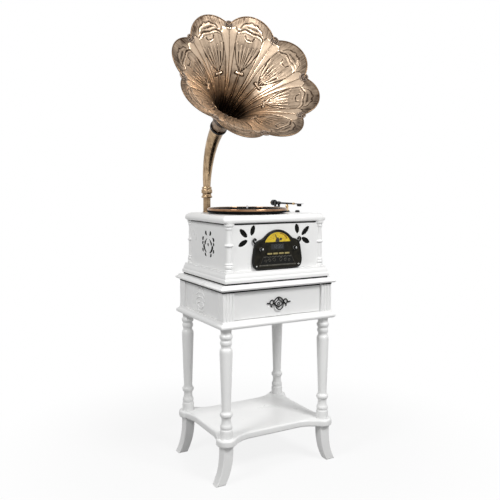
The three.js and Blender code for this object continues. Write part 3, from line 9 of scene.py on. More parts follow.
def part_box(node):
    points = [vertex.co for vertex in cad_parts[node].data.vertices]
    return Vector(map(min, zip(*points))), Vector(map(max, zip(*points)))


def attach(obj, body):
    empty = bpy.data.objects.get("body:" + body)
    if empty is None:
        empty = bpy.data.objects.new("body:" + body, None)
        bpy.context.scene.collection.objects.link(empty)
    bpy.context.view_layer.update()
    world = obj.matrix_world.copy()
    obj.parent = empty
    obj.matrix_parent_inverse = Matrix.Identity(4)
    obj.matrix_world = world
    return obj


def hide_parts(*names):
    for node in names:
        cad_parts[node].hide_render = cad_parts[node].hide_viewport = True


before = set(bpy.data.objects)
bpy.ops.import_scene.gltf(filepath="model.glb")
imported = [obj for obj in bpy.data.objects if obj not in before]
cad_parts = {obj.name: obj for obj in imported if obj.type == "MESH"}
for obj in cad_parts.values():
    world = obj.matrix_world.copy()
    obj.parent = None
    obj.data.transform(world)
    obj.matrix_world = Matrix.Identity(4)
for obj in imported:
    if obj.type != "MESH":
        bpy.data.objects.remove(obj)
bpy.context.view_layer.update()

# Studio
# The player stands on a pale floor that runs out to a white backdrop. The camera looks slightly down at it,
# from left of the front. One soft lamp hangs high on each side of it, and a long low one over the camera
# shines on the brass.
FOCAL_LENGTH = 46.8
CAMERA_SHIFT = -0.05
CAMERA_PLACE = (-1.2116, -2.1380, 1.0551)
CAMERA_DOWN = math.radians(3.82)
CAMERA_TURN = math.radians(29.18)
LIGHT_AIM = (0, 0, 0.95)
SOFTBOXES = {
    "key_lamp": ((0.7, -2.4, 3.0), (0.9, 0.9), 78),
    "fill_lamp": ((-2.5, -0.8, 2.95), (0.9, 0.9), 50),
    "horn_lamp": ((-1.3, -2.4, 2.05), (1.4, 0.5), 4),
}
AMBIENT = 0.34
FLOOR_SIZE = 24
FLOOR_COLOUR = (0.3, 0.3, 0.3, 1)
FLOOR_SEEN = (0.75, 0.75, 0.75, 1)
FLOOR_GLOW = 0.85
SHADOW_REACH = (0.4, 1.2)
WHITE = (1, 1, 1, 1)

table_low, table_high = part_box("table_top")
CENTRE = Vector(((table_low.x + table_high.x) / 2, (table_low.y + table_high.y) / 2, 0))
scene = bpy.context.scene
scene.view_settings.view_transform = "Standard"


def link(name, data):
    made = bpy.data.objects.new(name, data)
    scene.collection.objects.link(made)
    return made


def add_node(tree, kind, sockets=None, **settings):
    """A shader node with its settings, whose sockets take values or the outputs of other nodes."""
    made = tree.nodes.new("ShaderNode" + kind)
    for key, value in settings.items():
        setattr(made, key, value)
    for key, value in (sockets or {}).items():
        if isinstance(value, bpy.types.NodeSocket):
            tree.links.new(value, made.inputs[key])
        else:
            made.inputs[key].default_value = value
    return made


def mixed_colour(tree, share, first, second, blend="MIX"):
    sockets = {0: share, 6: first, 7: second}
    return add_node(tree, "Mix", sockets, data_type="RGBA", blend_type=blend).outputs[2]


def seen_directly(tree):
    """1 for what the camera sees itself, in a reflection or through glass, and 0 for light on a surface."""
    path = add_node(tree, "LightPath").outputs
    first = add_node(tree, "Math", {0: path["Is Camera Ray"], 1: path["Is Glossy Ray"]}, operation="MAXIMUM")
    both = {0: first.outputs[0], 1: path["Is Transmission Ray"]}
    return add_node(tree, "Math", both, operation="MAXIMUM").outputs[0]


camera = link("camera", bpy.data.cameras.new("camera"))
camera.data.lens = FOCAL_LENGTH
camera.data.shift_y = CAMERA_SHIFT
camera.location = CENTRE + Vector(CAMERA_PLACE)
camera.rotation_euler = (math.pi / 2 - CAMERA_DOWN, 0, -CAMERA_TURN)
scene.camera = camera

for name, (place, size, watts) in SOFTBOXES.items():
    lamp = link(name, bpy.data.lights.new(name, "AREA"))
    lamp.data.shape = "RECTANGLE"
    lamp.data.size, lamp.data.size_y = size
    lamp.data.energy = watts
    lamp.location = CENTRE + Vector(place)
    lamp.rotation_euler = (CENTRE + Vector(LIGHT_AIM) - lamp.location).to_track_quat("-Z", "Y").to_euler()

scene.world = bpy.data.worlds.new("studio")
scene.world.use_nodes = True
tree = scene.world.node_tree
backdrop = add_node(tree, "Background", {"Strength": 1.0, "Color": WHITE})
daylight = add_node(tree, "Background", {"Strength": AMBIENT, "Color": WHITE})
mixed = add_node(tree, "MixShader", {0: seen_directly(tree), 1: daylight.outputs[0], 2: backdrop.outputs[0]})
tree.links.new(mixed.outputs[0], tree.nodes["World Output"].inputs["Surface"])

# Near the player the floor takes its shadow, and further out it fades into the white backdrop.
ground = bmesh.new()
bmesh.ops.create_grid(ground, x_segments=8, y_segments=8, size=FLOOR_SIZE / 2)
bmesh.ops.translate(ground, verts=ground.verts, vec=CENTRE)
floor = link("studio_floor", bpy.data.meshes.new("studio_floor"))
ground.to_mesh(floor.data)
ground.free()
floor_paper = bpy.data.materials.new("floor_paper")
floor_paper.use_nodes = True
tree = floor_paper.node_tree
paper = tree.nodes["Principled BSDF"]
paper.inputs["Roughness"].default_value = 0.9
paper.inputs["Specular IOR Level"].default_value = 0.0
place = add_node(tree, "TexCoord").outputs["Object"]
across = {0: place, 1: tuple(CENTRE)}
distance = add_node(tree, "VectorMath", across, operation="DISTANCE").outputs["Value"]
fade = {"Value": distance, "From Min": SHADOW_REACH[0], "From Max": SHADOW_REACH[1], "To Min": FLOOR_GLOW}
far = add_node(tree, "MapRange", fade, interpolation_type="SMOOTHSTEP").outputs[0]
seen = seen_directly(tree)
tree.links.new(mixed_colour(tree, seen, FLOOR_COLOUR, FLOOR_SEEN), paper.inputs["Base Color"])
share = add_node(tree, "Math", {0: far, 1: seen}, operation="MULTIPLY").outputs[0]
glow = add_node(tree, "Emission", {"Strength": 1.0, "Color": WHITE}).outputs[0]
mixed = add_node(tree, "MixShader", {0: share, 1: paper.outputs[0], 2: glow})
tree.links.new(mixed.outputs[0], tree.nodes["Material Output"].inputs["Surface"])
floor.data.materials.append(floor_paper)

# Feet
# Four sabre feet, each sawn from a 39 mm beech board along one curve that sweeps out to the side, with eased
# edges. They are glued under the shelf's corners and sprayed with the same satin white lacquer as the rest of
# the table.
FOOT_HEIGHT = 0.136
FOOT_SIZE = 0.039
FOOT_SPLAY = 0.028
FOOT_SWEEP = 2.8
FOOT_TAPER = 0.14
FOOT_TAPER_POWER = 1.3
FOOT_STEPS = 28
FOOT_EASE = 0.0035
LEG_X = 0.204
LEG_Y = 0.164
CORNERS = {
    "front_left": (-1, -1),
    "front_right": (1, -1),
    "back_right": (1, 1),
    "back_left": (-1, 1),
}
SIDES = {"left": -1, "right": 1}
UPRIGHT = Matrix.Rotation(math.pi / 2, 4, "X")  # a drawing on paper is stood up, and then faces the front
SURFACE = {"Color": "Color", "Roughness": "Float", "Normal": "Vector"}


def surface_group(name, inputs):
    """An empty shader node group for a surface, its input sockets and its output sockets."""
    group = bpy.data.node_groups.new(name, "ShaderNodeTree")
    for direction, sockets in (("INPUT", inputs), ("OUTPUT", SURFACE)):
        for label, kind in sockets.items():
            group.interface.new_socket(label, in_out=direction, socket_type="NodeSocket" + kind)
    return group, group.nodes.new("NodeGroupInput").outputs, group.nodes.new("NodeGroupOutput").inputs


def noise(tree, place, scale, detail, **more):
    sockets = {"Vector": place, "Scale": scale, "Detail": detail, **more}
    return add_node(tree, "TexNoise", sockets).outputs["Fac"]


def between(tree, value, low, high, **more):
    """The value from 0 at its low end to 1 at its high end, or as the further sockets say."""
    sockets = {"Value": value, "From Min": low, "From Max": high, **more}
    return add_node(tree, "MapRange", sockets).outputs[0]


def bumps(tree, height, distance, strength):
    sockets = {"Height": height, "Distance": distance, "Strength": strength}
    return add_node(tree, "Bump", sockets).outputs[0]


def mixed_value(tree, share, first, second):
    return add_node(tree, "Mix", {0: share, 2: first, 3: second}).outputs[0]


def build_skin_group():
    """A skin whose colour and gloss drift slowly over it, with a fine grain that catches the light."""
    inputs = {"Colour": "Color", "Drift colour": "Color", "Patch scale": "Float", "Grain scale": "Float",
              "Gloss": "Float", "Dull": "Float", "Grain height": "Float"}
    group, given, out = surface_group("skin", inputs)
    place = add_node(group, "TexCoord").outputs["Object"]
    drift = noise(group, place, given["Patch scale"], 3.0, Roughness=0.55)
    spread = between(group, drift, 0.3, 0.7)
    grain = noise(group, place, given["Grain scale"], 2.0)
    group.links.new(mixed_colour(group, spread, given["Colour"], given["Drift colour"]), out["Color"])
    group.links.new(mixed_value(group, spread, given["Gloss"], given["Dull"]), out["Roughness"])
    group.links.new(bumps(group, grain, given["Grain height"], 0.6), out["Normal"])
    return group


skin_group = build_skin_group()


def finish(name, group, values, uniform=None):
    """A material whose colour, roughness and normal come from a group. Its uniform numbers are its own."""
    made = bpy.data.materials.new(name)
    made.use_nodes = True
    shader = made.node_tree.nodes["Principled BSDF"]
    effect = made.node_tree.nodes.new("ShaderNodeGroup")
    effect.node_tree = group
    for label, value in values.items():
        effect.inputs[label].default_value = value
    for label, socket in zip(SURFACE, ("Base Color", "Roughness", "Normal")):
        made.node_tree.links.new(effect.outputs[label], shader.inputs[socket])
    for label, value in (uniform or {}).items():
        shader.inputs[label].default_value = value
    return made


def skin(name, colour, drift, patch, grain, gloss, dull, height, **uniform):
    """A finish that drifts between two colours. The patches, the grain and its height are sizes in metres."""
    values = {"Colour": (*colour, 1), "Drift colour": (*drift, 1), "Patch scale": 1 / patch,
              "Grain scale": 1 / grain, "Gloss": gloss, "Dull": dull, "Grain height": height}
    return finish(name, skin_group, values, {key.replace("_", " "): value for key, value in uniform.items()})


white_lacquer = skin("white_lacquer", (0.86, 0.86, 0.852), (0.835, 0.836, 0.83), 0.09, 0.0016,
                     0.27, 0.36, 0.00004)


def shape_of(drawn):
    """The shape of a drawn line or text, which is used up."""
    holder = bpy.data.objects.new("drawn", drawn)
    mesh = bpy.data.meshes.new_from_object(holder)
    shape = bmesh.new()
    shape.from_mesh(mesh)
    bpy.data.objects.remove(holder)
    bpy.data.curves.remove(drawn)
    bpy.data.meshes.remove(mesh)
    return shape


def welded(shape, distance):
    bmesh.ops.remove_doubles(shape, verts=shape.verts, dist=distance)
    bmesh.ops.recalc_face_normals(shape, faces=shape.faces)
    return shape


def cut_board(outlines, thickness, ease):
    """A flat board drawn on paper, pierced by each outline after the first, with its edges eased."""
    drawing = bpy.data.curves.new("drawing", "CURVE")
    drawing.dimensions = "2D"
    drawing.fill_mode = "BOTH"
    drawing.extrude = thickness / 2 - ease
    drawing.bevel_depth = ease
    drawing.bevel_resolution = 2
    drawing.offset = -ease
    for outline in outlines:
        line = drawing.splines.new("POLY")
        line.points.add(len(outline) - 1)
        for point, (x, y) in zip(line.points, outline):
            point.co = (x, y, 0, 1)
        line.use_cyclic_u = True
    return welded(shape_of(drawing), 1e-6)


def moved(shape, *steps):
    """The shape after each matrix or shift in turn."""
    for step in steps:
        matrix = step if isinstance(step, Matrix) else Matrix.Translation(step)
        bmesh.ops.transform(shape, matrix=matrix, verts=shape.verts)
    return shape


def piece(name, shape, body, slot, material, replaced=(), crease=40, even=False):
    """A finished piece from a shape drawn about the cabinet's centre line, which rides on its body."""
    moved(shape, CENTRE)
    mesh = bpy.data.meshes.new(name)
    shape.to_mesh(mesh)
    shape.free()
    mesh.shade_smooth()
    mesh.set_sharp_from_angle(angle=math.radians(crease))
    mesh.materials.append(material)
    made = link(name, mesh)
    if even:
        shading = made.modifiers.new("even_shading", "WEIGHTED_NORMAL")
        shading.keep_sharp = True
        shading.weight = 100
    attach(made, body)
    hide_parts(*replaced)
    return made


def white_piece(name, shape, replaced, crease=40, even=True):
    """A lacquered wooden piece of the table or the case, dressing the solid of the name given."""
    piece(name, shape, "cabinet", "white_paint", white_lacquer, [replaced], crease, even)


def foot_share(height):
    """How much of its full size a foot has left at a height: it thins towards the floor."""
    return 1 - FOOT_TAPER * max(0, 1 - height / FOOT_HEIGHT) ** FOOT_TAPER_POWER


def foot_outline():
    steps = [k / FOOT_STEPS for k in range(FOOT_STEPS + 1)]
    sweep = [(FOOT_SPLAY * (1 - up) ** FOOT_SWEEP, up * FOOT_HEIGHT) for up in steps]
    inner = [(FOOT_SIZE / 2 * foot_share(up) - out, up) for out, up in sweep]
    outer = [(-FOOT_SIZE / 2 - out, up) for out, up in reversed(sweep)]
    return inner + outer


for corner, (sx, sy) in CORNERS.items():
    foot = moved(cut_board([foot_outline()], FOOT_SIZE, FOOT_EASE), UPRIGHT)
    for vert in foot.verts:
        vert.co.y *= foot_share(vert.co.z)
    turn = Matrix.Rotation(0 if sx < 0 else math.pi, 4, "Z")
    moved(foot, turn, (sx * LEG_X, sy * LEG_Y, 0))
    white_piece("foot_" + corner, foot, "foot_" + corner)

# Shelf
# One 27 mm board with a round lobe under each leg. Its edges sweep from the lobes to the straight runs, and a
# router has rounded them over. The legs stand on it and the feet are screwed up into it.
SHELF_LOW = 0.1363
SHELF_THICKNESS = 0.0264
SHELF_LOBE = 0.036
SHELF_SIDE = LEG_X + 0.009
SHELF_FRONT = LEG_Y - 0.007
SHELF_SWEEP = 0.1
SHELF_ROUND = 0.007
LOBE_WRAP = math.radians(95)  # half of the turn that a lobe makes round its leg


def arc(centre, radius, start, end, steps):
    turns = [start + (end - start) * k / steps for k in range(steps + 1)]
    return [Vector((centre[0] + radius * math.cos(a), centre[1] + radius * math.sin(a))) for a in turns]


def circle(centre, radius, steps=20):
    return arc(centre, radius, 0, 2 * math.pi * (steps - 1) / steps, steps - 1)


def bow(start, handle, end, steps=10):
    """Points of a quadratic curve, without its first."""
    start, handle, end = Vector(start), Vector(handle), Vector(end)
    shares = [k / steps for k in range(1, steps + 1)]
    return [(1 - s) ** 2 * start + 2 * s * (1 - s) * handle + s * s * end for s in shares]


def shelf_outline():
    lobes = []
    for k, (sx, sy) in enumerate([(1, 1), (-1, 1), (-1, -1), (1, -1)]):
        facing = math.pi / 4 + k * math.pi / 2
        lobe = arc((sx * LEG_X, sy * LEG_Y), SHELF_LOBE, facing - LOBE_WRAP, facing + LOBE_WRAP, 30)
        lobes.append(((sx, sy), lobe))
    line = []
    for k, ((sx, sy), lobe) in enumerate(lobes):
        follower, start = lobe[-1], lobes[(k + 1) % 4][1][0]
        tx, ty = lobes[(k + 1) % 4][0]
        if k % 2 == 0:
            leave = Vector((sx * (LEG_X - SHELF_SWEEP), sy * SHELF_FRONT))
            reach = Vector((tx * (LEG_X - SHELF_SWEEP), ty * SHELF_FRONT))
            bend = [Vector(((a.x + b.x) / 2, sy * SHELF_FRONT))
                    for a, b in ((follower, leave), (reach, start))]
        else:
            leave = Vector((sx * SHELF_SIDE, sy * (LEG_Y - SHELF_SWEEP)))
            reach = Vector((tx * SHELF_SIDE, ty * (LEG_Y - SHELF_SWEEP)))
            bend = [Vector((sx * SHELF_SIDE, (a.y + b.y) / 2))
                    for a, b in ((follower, leave), (reach, start))]
        line += lobe + bow(follower, bend[0], leave) + [reach] + bow(reach, bend[1], start)[:-1]
    return line


shelf = cut_board([shelf_outline()], SHELF_THICKNESS, SHELF_ROUND)
white_piece("shelf", moved(shelf, (0, 0, SHELF_LOW + SHELF_THICKNESS / 2)), "shelf")

# Legs
# Four beech legs, turned on a lathe from one blank each: a block at the foot, beads and coves, the long vase
# and a row of rings under the drawer case. A tenon at each end goes into the shelf and the base board.
LEG_RADIUS = 0.023
LEG_LOW = 0.163
LEG_LENGTH = 0.3857
LEG_SHARES = [
    (0.98, 0), (0.98, 0.074), (0.84, 0.083), (0.94, 0.097), (0.92, 0.115), (0.76, 0.133), (0.7, 0.165),
    (0.76, 0.19), (0.98, 0.204), (0.98, 0.228), (0.7, 0.243), (1, 0.793), (0.92, 0.813), (0.76, 0.825),
    (0.76, 0.845), (0.91, 0.86), (0.91, 0.884), (0.76, 0.897), (1, 0.916), (1, 0.937), (0.76, 0.953),
    (0.91, 1),
]
LEG_SOFT = 0.004
LATHE_STEPS = 64


def soft_line(points, reach, rounds=2, closed=False):
    """A line whose corners are cut, each by a quarter of its sides or by the reach, whichever is less."""
    line = [Vector(point) for point in points]
    for k in range(rounds):
        pairs = zip(line, line[1:] + line[:1]) if closed else zip(line, line[1:])
        cut = [] if closed else [line[0]]
        for start, end in pairs:
            side = end - start
            share = min(0.25, reach / 2**k / max(side.length, 1e-9))
            cut += [start + share * side, end - share * side]
        line = cut if closed else cut + [line[-1]]
    return line


def turned(profile, steps=LATHE_STEPS, closed=False):
    """A piece turned about the upright axis from (radius, height) points."""
    shape = bmesh.new()
    line = [shape.verts.new((radius, 0, height)) for radius, height in profile]
    pairs = zip(line, line[1:] + line[:1]) if closed else zip(line, line[1:])
    edges = [shape.edges.new(pair) for pair in pairs]
    bmesh.ops.spin(shape, geom=line + edges, cent=(0, 0, 0), axis=(0, 0, 1), angle=2 * math.pi, steps=steps,
                   use_merge=True)
    return welded(shape, 1e-6)


def turned_ring(profile, soft, steps=LATHE_STEPS):
    """A ring turned from a closed profile with softened corners."""
    return turned(soft_line(profile, soft, closed=True), steps, closed=True)


def spindle_turned(shares, radius, height, reach, steps=LATHE_STEPS):
    line = soft_line([(out * radius, up * height) for out, up in shares], reach)
    return turned([(0, 0), *line, (0, height)], steps)


for corner, (sx, sy) in CORNERS.items():
    leg = spindle_turned(LEG_SHARES, LEG_RADIUS, LEG_LENGTH, LEG_SOFT)
    moved(leg, (sx * LEG_X, sy * LEG_Y, LEG_LOW))
    white_piece("leg_" + corner, leg, "leg_" + corner, even=False)

# Base board
# A solid board with an ogee run round its edge by a router, under the drawer and its apron. The legs' tenons
# end in it, and the corner posts are glued on top.
POST_X = 0.226
POST_Y = 0.186
APRON_LOW = 0.575
APRON_HIGH = 0.68
BASE_OVERHANG = 0.013
BASE_THICKNESS = 0.026
BASE_MOULD = 0.012
BOARD_CORNER = 0.003
BASE_SHARES = [(0.5, 0), (0.12, 0.1), (0, 0.3), (0.12, 0.5), (0.5, 0.64), (0.75, 0.72), (0.85, 0.86), (1, 1)]


def moulding(shares, inset, low, thickness, reach=0.002):
    return soft_line([(out * inset, low + up * thickness) for out, up in shares], reach)


def next_ring(shape, edges):
    """The verts and edges of a copy of a ring of edges, joined to it by faces."""
    grown = bmesh.ops.extrude_edge_only(shape, edges=edges)["geom"]
    verts = [g for g in grown if isinstance(g, bmesh.types.BMVert)]
    return verts, [g for g in grown if isinstance(g, bmesh.types.BMEdge) and all(v in verts for v in g.verts)]


def moulded_board(width, depth, corner, profile, corner_steps=6):
    """A board made ring by ring: each (inset, height) of the profile draws its outline inwards."""
    shape = bmesh.new()
    half_step = Matrix.Rotation(math.pi / (4 * corner_steps), 4, "Z")
    bmesh.ops.create_circle(shape, segments=4 * corner_steps, radius=corner, matrix=half_step)
    verts, edges = list(shape.verts), list(shape.edges)
    bmesh.ops.contextual_create(shape, geom=edges)
    reach = (width / 2 - corner, depth / 2 - corner)
    before = (0, 0)
    for k, (inset, height) in enumerate(profile):
        if k > 0:
            verts, edges = next_ring(shape, edges)
        out = (0, 0) if k > 0 else reach
        for vert in verts:
            sides = (math.copysign(1, vert.co.x), math.copysign(1, vert.co.y))
            vert.co.x += sides[0] * (out[0] + before[0] - inset)
            vert.co.y += sides[1] * (out[1] + before[0] - inset)
            vert.co.z += height - before[1]
        before = (inset, height)
    bmesh.ops.contextual_create(shape, geom=edges)
    bmesh.ops.recalc_face_normals(shape, faces=shape.faces)
    return shape


base_line = moulding(BASE_SHARES, BASE_MOULD, APRON_LOW - BASE_THICKNESS, BASE_THICKNESS)
width, depth = 2 * (POST_X + BASE_OVERHANG), 2 * (POST_Y + BASE_OVERHANG)
white_piece("base_board", moulded_board(width, depth, BOARD_CORNER, base_line), "base_board")

# Apron
# Square corner posts with three flutes on each outer face stand at the corners. Plain panels are glued
# between them at the sides and the back, and each side panel carries a small moulded scroll ornament, painted
# over.
POST_SIZE = 0.044
POST_EASE = 0.0012
FLUTE_RADIUS = 0.004
FLUTE_DEPTH = 0.0025
FLUTE_PITCH = 0.012
APRON_GAP = 0.0003
PANEL_INSET = 0.008
PANEL_THICKNESS = 0.014
CARVING_Y = 0.012
CARVING_Z = 0.622
CARVING_ROUND = 0.0032
STROKE_TIP = 0.35
CARVING_STROKES = [
    [(0.003, 0.040), (0.016, 0.045), (0.030, 0.037)],
    [(0.002, 0.026), (0.018, 0.027), (0.037, 0.014)],
    [(0.001, 0.010), (0.016, 0.011), (0.035, -0.002)],
    [(0.004, -0.008), (0.016, -0.009), (0.029, -0.018)],
    [(0.004, -0.031), (0.012, -0.028), (0.024, -0.020)],
    [(0.002, -0.042), (0.014, -0.042), (0.025, -0.034)],
]


def fluted_post():
    """A post with flutes on its two faces towards -X and -Y."""
    half = POST_SIZE / 2
    sink = FLUTE_RADIUS - FLUTE_DEPTH
    spread = math.acos(sink / FLUTE_RADIUS)
    front = []
    for k in (-1, 0, 1):
        start, end = math.pi / 2 + spread, math.pi / 2 - spread
        front += arc((k * FLUTE_PITCH, -half - sink), FLUTE_RADIUS, start, end, 10)
    side = [Vector((y, x)) for x, y in reversed(front)]
    edge = half - POST_EASE
    line = [(-half, -edge), (-edge, -half), *front, (edge, -half), (half, -edge), (half, edge), (edge, half),
            (-edge, half), (-half, edge), *side]
    shape = bmesh.new()
    face = shape.faces.new([shape.verts.new((x, y, APRON_LOW + APRON_GAP)) for x, y in line])
    grown = bmesh.ops.extrude_face_region(shape, geom=[face])["geom"]
    rise = [g for g in grown if isinstance(g, bmesh.types.BMVert)]
    bmesh.ops.translate(shape, verts=rise, vec=(0, 0, APRON_HIGH - APRON_LOW - 2 * APRON_GAP))
    bmesh.ops.recalc_face_normals(shape, faces=shape.faces)
    return shape


def eased_block(corner, opposite, ease):
    """A block between two opposite corners, with eased edges."""
    low, high = Vector(map(min, corner, opposite)), Vector(map(max, corner, opposite))
    shape = bmesh.new()
    bmesh.ops.create_cube(shape, size=1)
    bmesh.ops.scale(shape, vec=high - low, verts=shape.verts)
    bmesh.ops.translate(shape, vec=(low + high) / 2, verts=shape.verts)
    if ease > 0:
        bmesh.ops.bevel(shape, geom=list(shape.edges), offset=ease, affect="EDGES", segments=2, profile=0.5,
                        material=-1)
    return shape


def rod(points, radius, shares=None, closed=False, sides=2):
    """A round bar along a line of points, whose radius follows the shares given for the points."""
    line = bpy.data.curves.new("bar", "CURVE")
    line.dimensions = "3D"
    line.bevel_depth = radius
    line.bevel_resolution = sides
    line.use_fill_caps = not closed
    spline = line.splines.new("POLY")
    spline.points.add(len(points) - 1)
    for k, point in enumerate(points):
        spline.points[k].co = (*point, 1)
        spline.points[k].radius = 1 if shares is None else shares[k]
    spline.use_cyclic_u = closed
    return welded(shape_of(line), 1e-7)


def joined(shapes):
    whole = bmesh.new()
    for shape in shapes:
        mesh = bpy.data.meshes.new("shape")
        shape.to_mesh(mesh)
        shape.free()
        whole.from_mesh(mesh)
        bpy.data.meshes.remove(mesh)
    return whole


def leaf_stroke(points, radius):
    """A stroke on paper that swells in its middle and thins out at its ends."""
    line = soft_line([(x, y, 0) for x, y in points], 1, rounds=3)
    swell = [math.sin(math.pi * k / (len(line) - 1)) ** 0.7 for k in range(len(line))]
    return rod(line, radius, [STROKE_TIP + (1 - STROKE_TIP) * share for share in swell])


def scroll_carving():
    strokes = [leaf_stroke([(sign * x, y) for x, y in line], CARVING_ROUND)
               for sign in (1, -1) for line in CARVING_STROKES]
    return moved(joined(strokes), UPRIGHT)


for k, (corner, (sx, sy)) in enumerate(CORNERS.items()):
    where = (sx * (POST_X - POST_SIZE / 2), sy * (POST_Y - POST_SIZE / 2), 0)
    post = moved(fluted_post(), Matrix.Rotation(k * math.pi / 2, 4, "Z"), where)
    white_piece("post_" + corner, post, "apron_left" if sx < 0 else "apron_right", even=False)
panel_low, panel_high = APRON_LOW + APRON_GAP, APRON_HIGH - APRON_GAP
for side, sx in SIDES.items():
    face, reach = POST_X - PANEL_INSET, POST_Y - POST_SIZE / 2
    panel = eased_block((sx * face, -reach, panel_low), (sx * (face - PANEL_THICKNESS), reach, panel_high), 0)
    white_piece("side_panel_" + side, panel, "apron_" + side, even=False)
    carving = moved(scroll_carving(), Matrix.Rotation(sx * math.pi / 2, 4, "Z"),
                    (sx * face, CARVING_Y, CARVING_Z))
    white_piece("side_carving_" + side, carving, "apron_" + side, crease=60, even=False)
back = POST_Y - PANEL_INSET
reach = POST_X - POST_SIZE - APRON_GAP
panel = eased_block((-reach, back - PANEL_THICKNESS, panel_low), (reach, back, panel_high), 0)
white_piece("back_panel", panel, "apron_back", even=False)

# Drawer
# A lacquered front with eased edges, which leaves a thin gap under the table top. It is screwed to an open
# box of birch plywood that slides on the base board.
DRAWER_FACE = -0.177
DRAWER_X = 0.1805
DRAWER_LOW = 0.5765
DRAWER_HIGH = 0.6785
DRAWER_THICKNESS = 0.018
DRAWER_PLAY = 0.0058
DRAWER_EASE = 0.0012


def build_wood_group():
    """Long grain along X with darker growth lines and open pores."""
    inputs = {"Colour": "Color", "Grain colour": "Color"}
    group, given, out = surface_group("wood", inputs)
    place = add_node(group, "TexCoord").outputs["Object"]
    stretched = add_node(group, "Mapping", {"Vector": place, "Scale": (3, 60, 60)}).outputs[0]
    pores = add_node(group, "Mapping", {"Vector": place, "Scale": (25, 900, 900)}).outputs[0]
    share = between(group, noise(group, stretched, 1.0, 6.0, Distortion=0.6), 0.35, 0.7)
    pore = noise(group, pores, 1.0, 2.0)
    height = add_node(group, "Math", {0: pore, 1: share}, operation="SUBTRACT").outputs[0]
    group.links.new(mixed_colour(group, share, given["Colour"], given["Grain colour"]), out["Color"])
    group.links.new(mixed_value(group, pore, 0.5, 0.7), out["Roughness"])
    group.links.new(bumps(group, height, 0.0002, 0.5), out["Normal"])
    return group


def dress(names, material):
    """Gives solids that need no finer piece the material that they are seen in."""
    for name in names:
        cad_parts[name].data.materials.clear()
        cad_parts[name].data.materials.append(material)


birch = finish("birch_plywood", build_wood_group(),
               {"Colour": (0.62, 0.46, 0.28, 1), "Grain colour": (0.5, 0.34, 0.19, 1)})
front_top = DRAWER_HIGH - DRAWER_PLAY
front = eased_block((-DRAWER_X, DRAWER_FACE, DRAWER_LOW),
                    (DRAWER_X, DRAWER_FACE + DRAWER_THICKNESS, front_top), DRAWER_EASE)
piece("drawer_front", front, "drawer", "white_paint", white_lacquer, ["drawer_front"], even=True)
dress(["drawer_box"], birch)

# Drawer pull
# A black cast-iron pull in open work: an arch over a shield with a ring in it, and a wing with a spur and a
# tip at each side. Two ears carry the hanging bail, which is bent from a bar that swells in the middle.
PULL_Z = 0.6225
PULL_HALF_WIDTH = 0.0515
PULL_HALF_HEIGHT = 0.0235
PULL_BACK = DRAWER_FACE - 0.0003
PULL_DEPTH = 0.0022
PULL_BARS = [  # points (shares of the half width and the half height), radius
    ([(-0.02, 0.9), (0.18, 0.8), (0.32, 0.45), (0.42, 0.2)], 0.0023),
    ([(0, 0.82), (0.04, 0.45), (0.2, 0.22), (0.3, 0)], 0.0018),
    ([(0.42, 0.22), (0.34, -0.12), (0.17, -0.4), (-0.02, -0.62)], 0.0021),
    ([(0.4, 0.2), (0.48, 0.55), (0.62, 0.52), (0.73, 0.18), (0.66, -0.12), (0.56, -0.2), (0.46, -0.05),
      (0.4, 0.2)], 0.0019),
    ([(0.6, -0.1), (0.61, -0.34), (0.58, -0.56)], 0.0022),
    ([(0.68, 0.1), (0.82, 0.04), (0.94, 0.1)], 0.0024),
]
PULL_RING = 0.0045
PULL_RING_DROP = 0.0025
PULL_RING_BAR = 0.0015
EAR_X = 0.0205
EAR_HALF = 0.0025
EAR_HALF_HEIGHT = 0.004
EAR_EASE = 0.0012
EAR_REACH = 0.009
BAIL_Y = PULL_BACK - PULL_DEPTH - EAR_REACH / 2 - 0.0008
BAIL_RADIUS = 0.002
BAIL_ARM = 0.0157
BAIL_PIN = 0.0227

black_iron = skin("black_iron", (0.006, 0.006, 0.006), (0.014, 0.013, 0.012), 0.012, 0.0012,
                  0.35, 0.5, 0.00012, Specular_IOR_Level=0.25)

bars = []
for sign in (1, -1):
    for line, radius in PULL_BARS:
        points = [Vector((sign * x * PULL_HALF_WIDTH, y * PULL_HALF_HEIGHT, 0)) for x, y in line]
        bars.append(rod(soft_line(points, 1, rounds=3), radius))
ring = [Vector((p.x, p.y - PULL_RING_DROP, 0)) for p in circle((0, 0), PULL_RING)]
bars.append(rod(ring, PULL_RING_BAR, closed=True))
bars = moved(joined(bars), UPRIGHT, (0, PULL_BACK - PULL_DEPTH, PULL_Z))
ear_face = PULL_BACK - PULL_DEPTH - EAR_REACH
ears = [eased_block((sign * EAR_X - EAR_HALF, ear_face, PULL_Z - EAR_HALF_HEIGHT),
                    (sign * EAR_X + EAR_HALF, PULL_BACK, PULL_Z + EAR_HALF_HEIGHT), EAR_EASE)
        for sign in (1, -1)]
piece("pull_plate", joined([bars, *ears]), "drawer", "black_iron", black_iron, ["pull_plate"], crease=50)

drop = [(-BAIL_PIN, 0), (-BAIL_ARM - 0.001, 0), (-BAIL_ARM, -0.001), (-BAIL_ARM - 0.0008, -0.007),
        (-BAIL_ARM + 0.004, -0.0185), (-0.004, -0.0228), (0, -0.0215)]
drop += [(-x, z) for x, z in reversed(drop[:-1])]
line = soft_line([(x, 0, z) for x, z in drop], 0.004, rounds=3)
thick = [0.75 + 0.25 * min(1, max(0, -point.z / 0.016)) for point in line]
bail = moved(rod(line, BAIL_RADIUS, thick, sides=3), (0, BAIL_Y, PULL_Z))
piece("pull_bail", bail, "bail", "black_iron", black_iron, ["pull_bail"], crease=50)

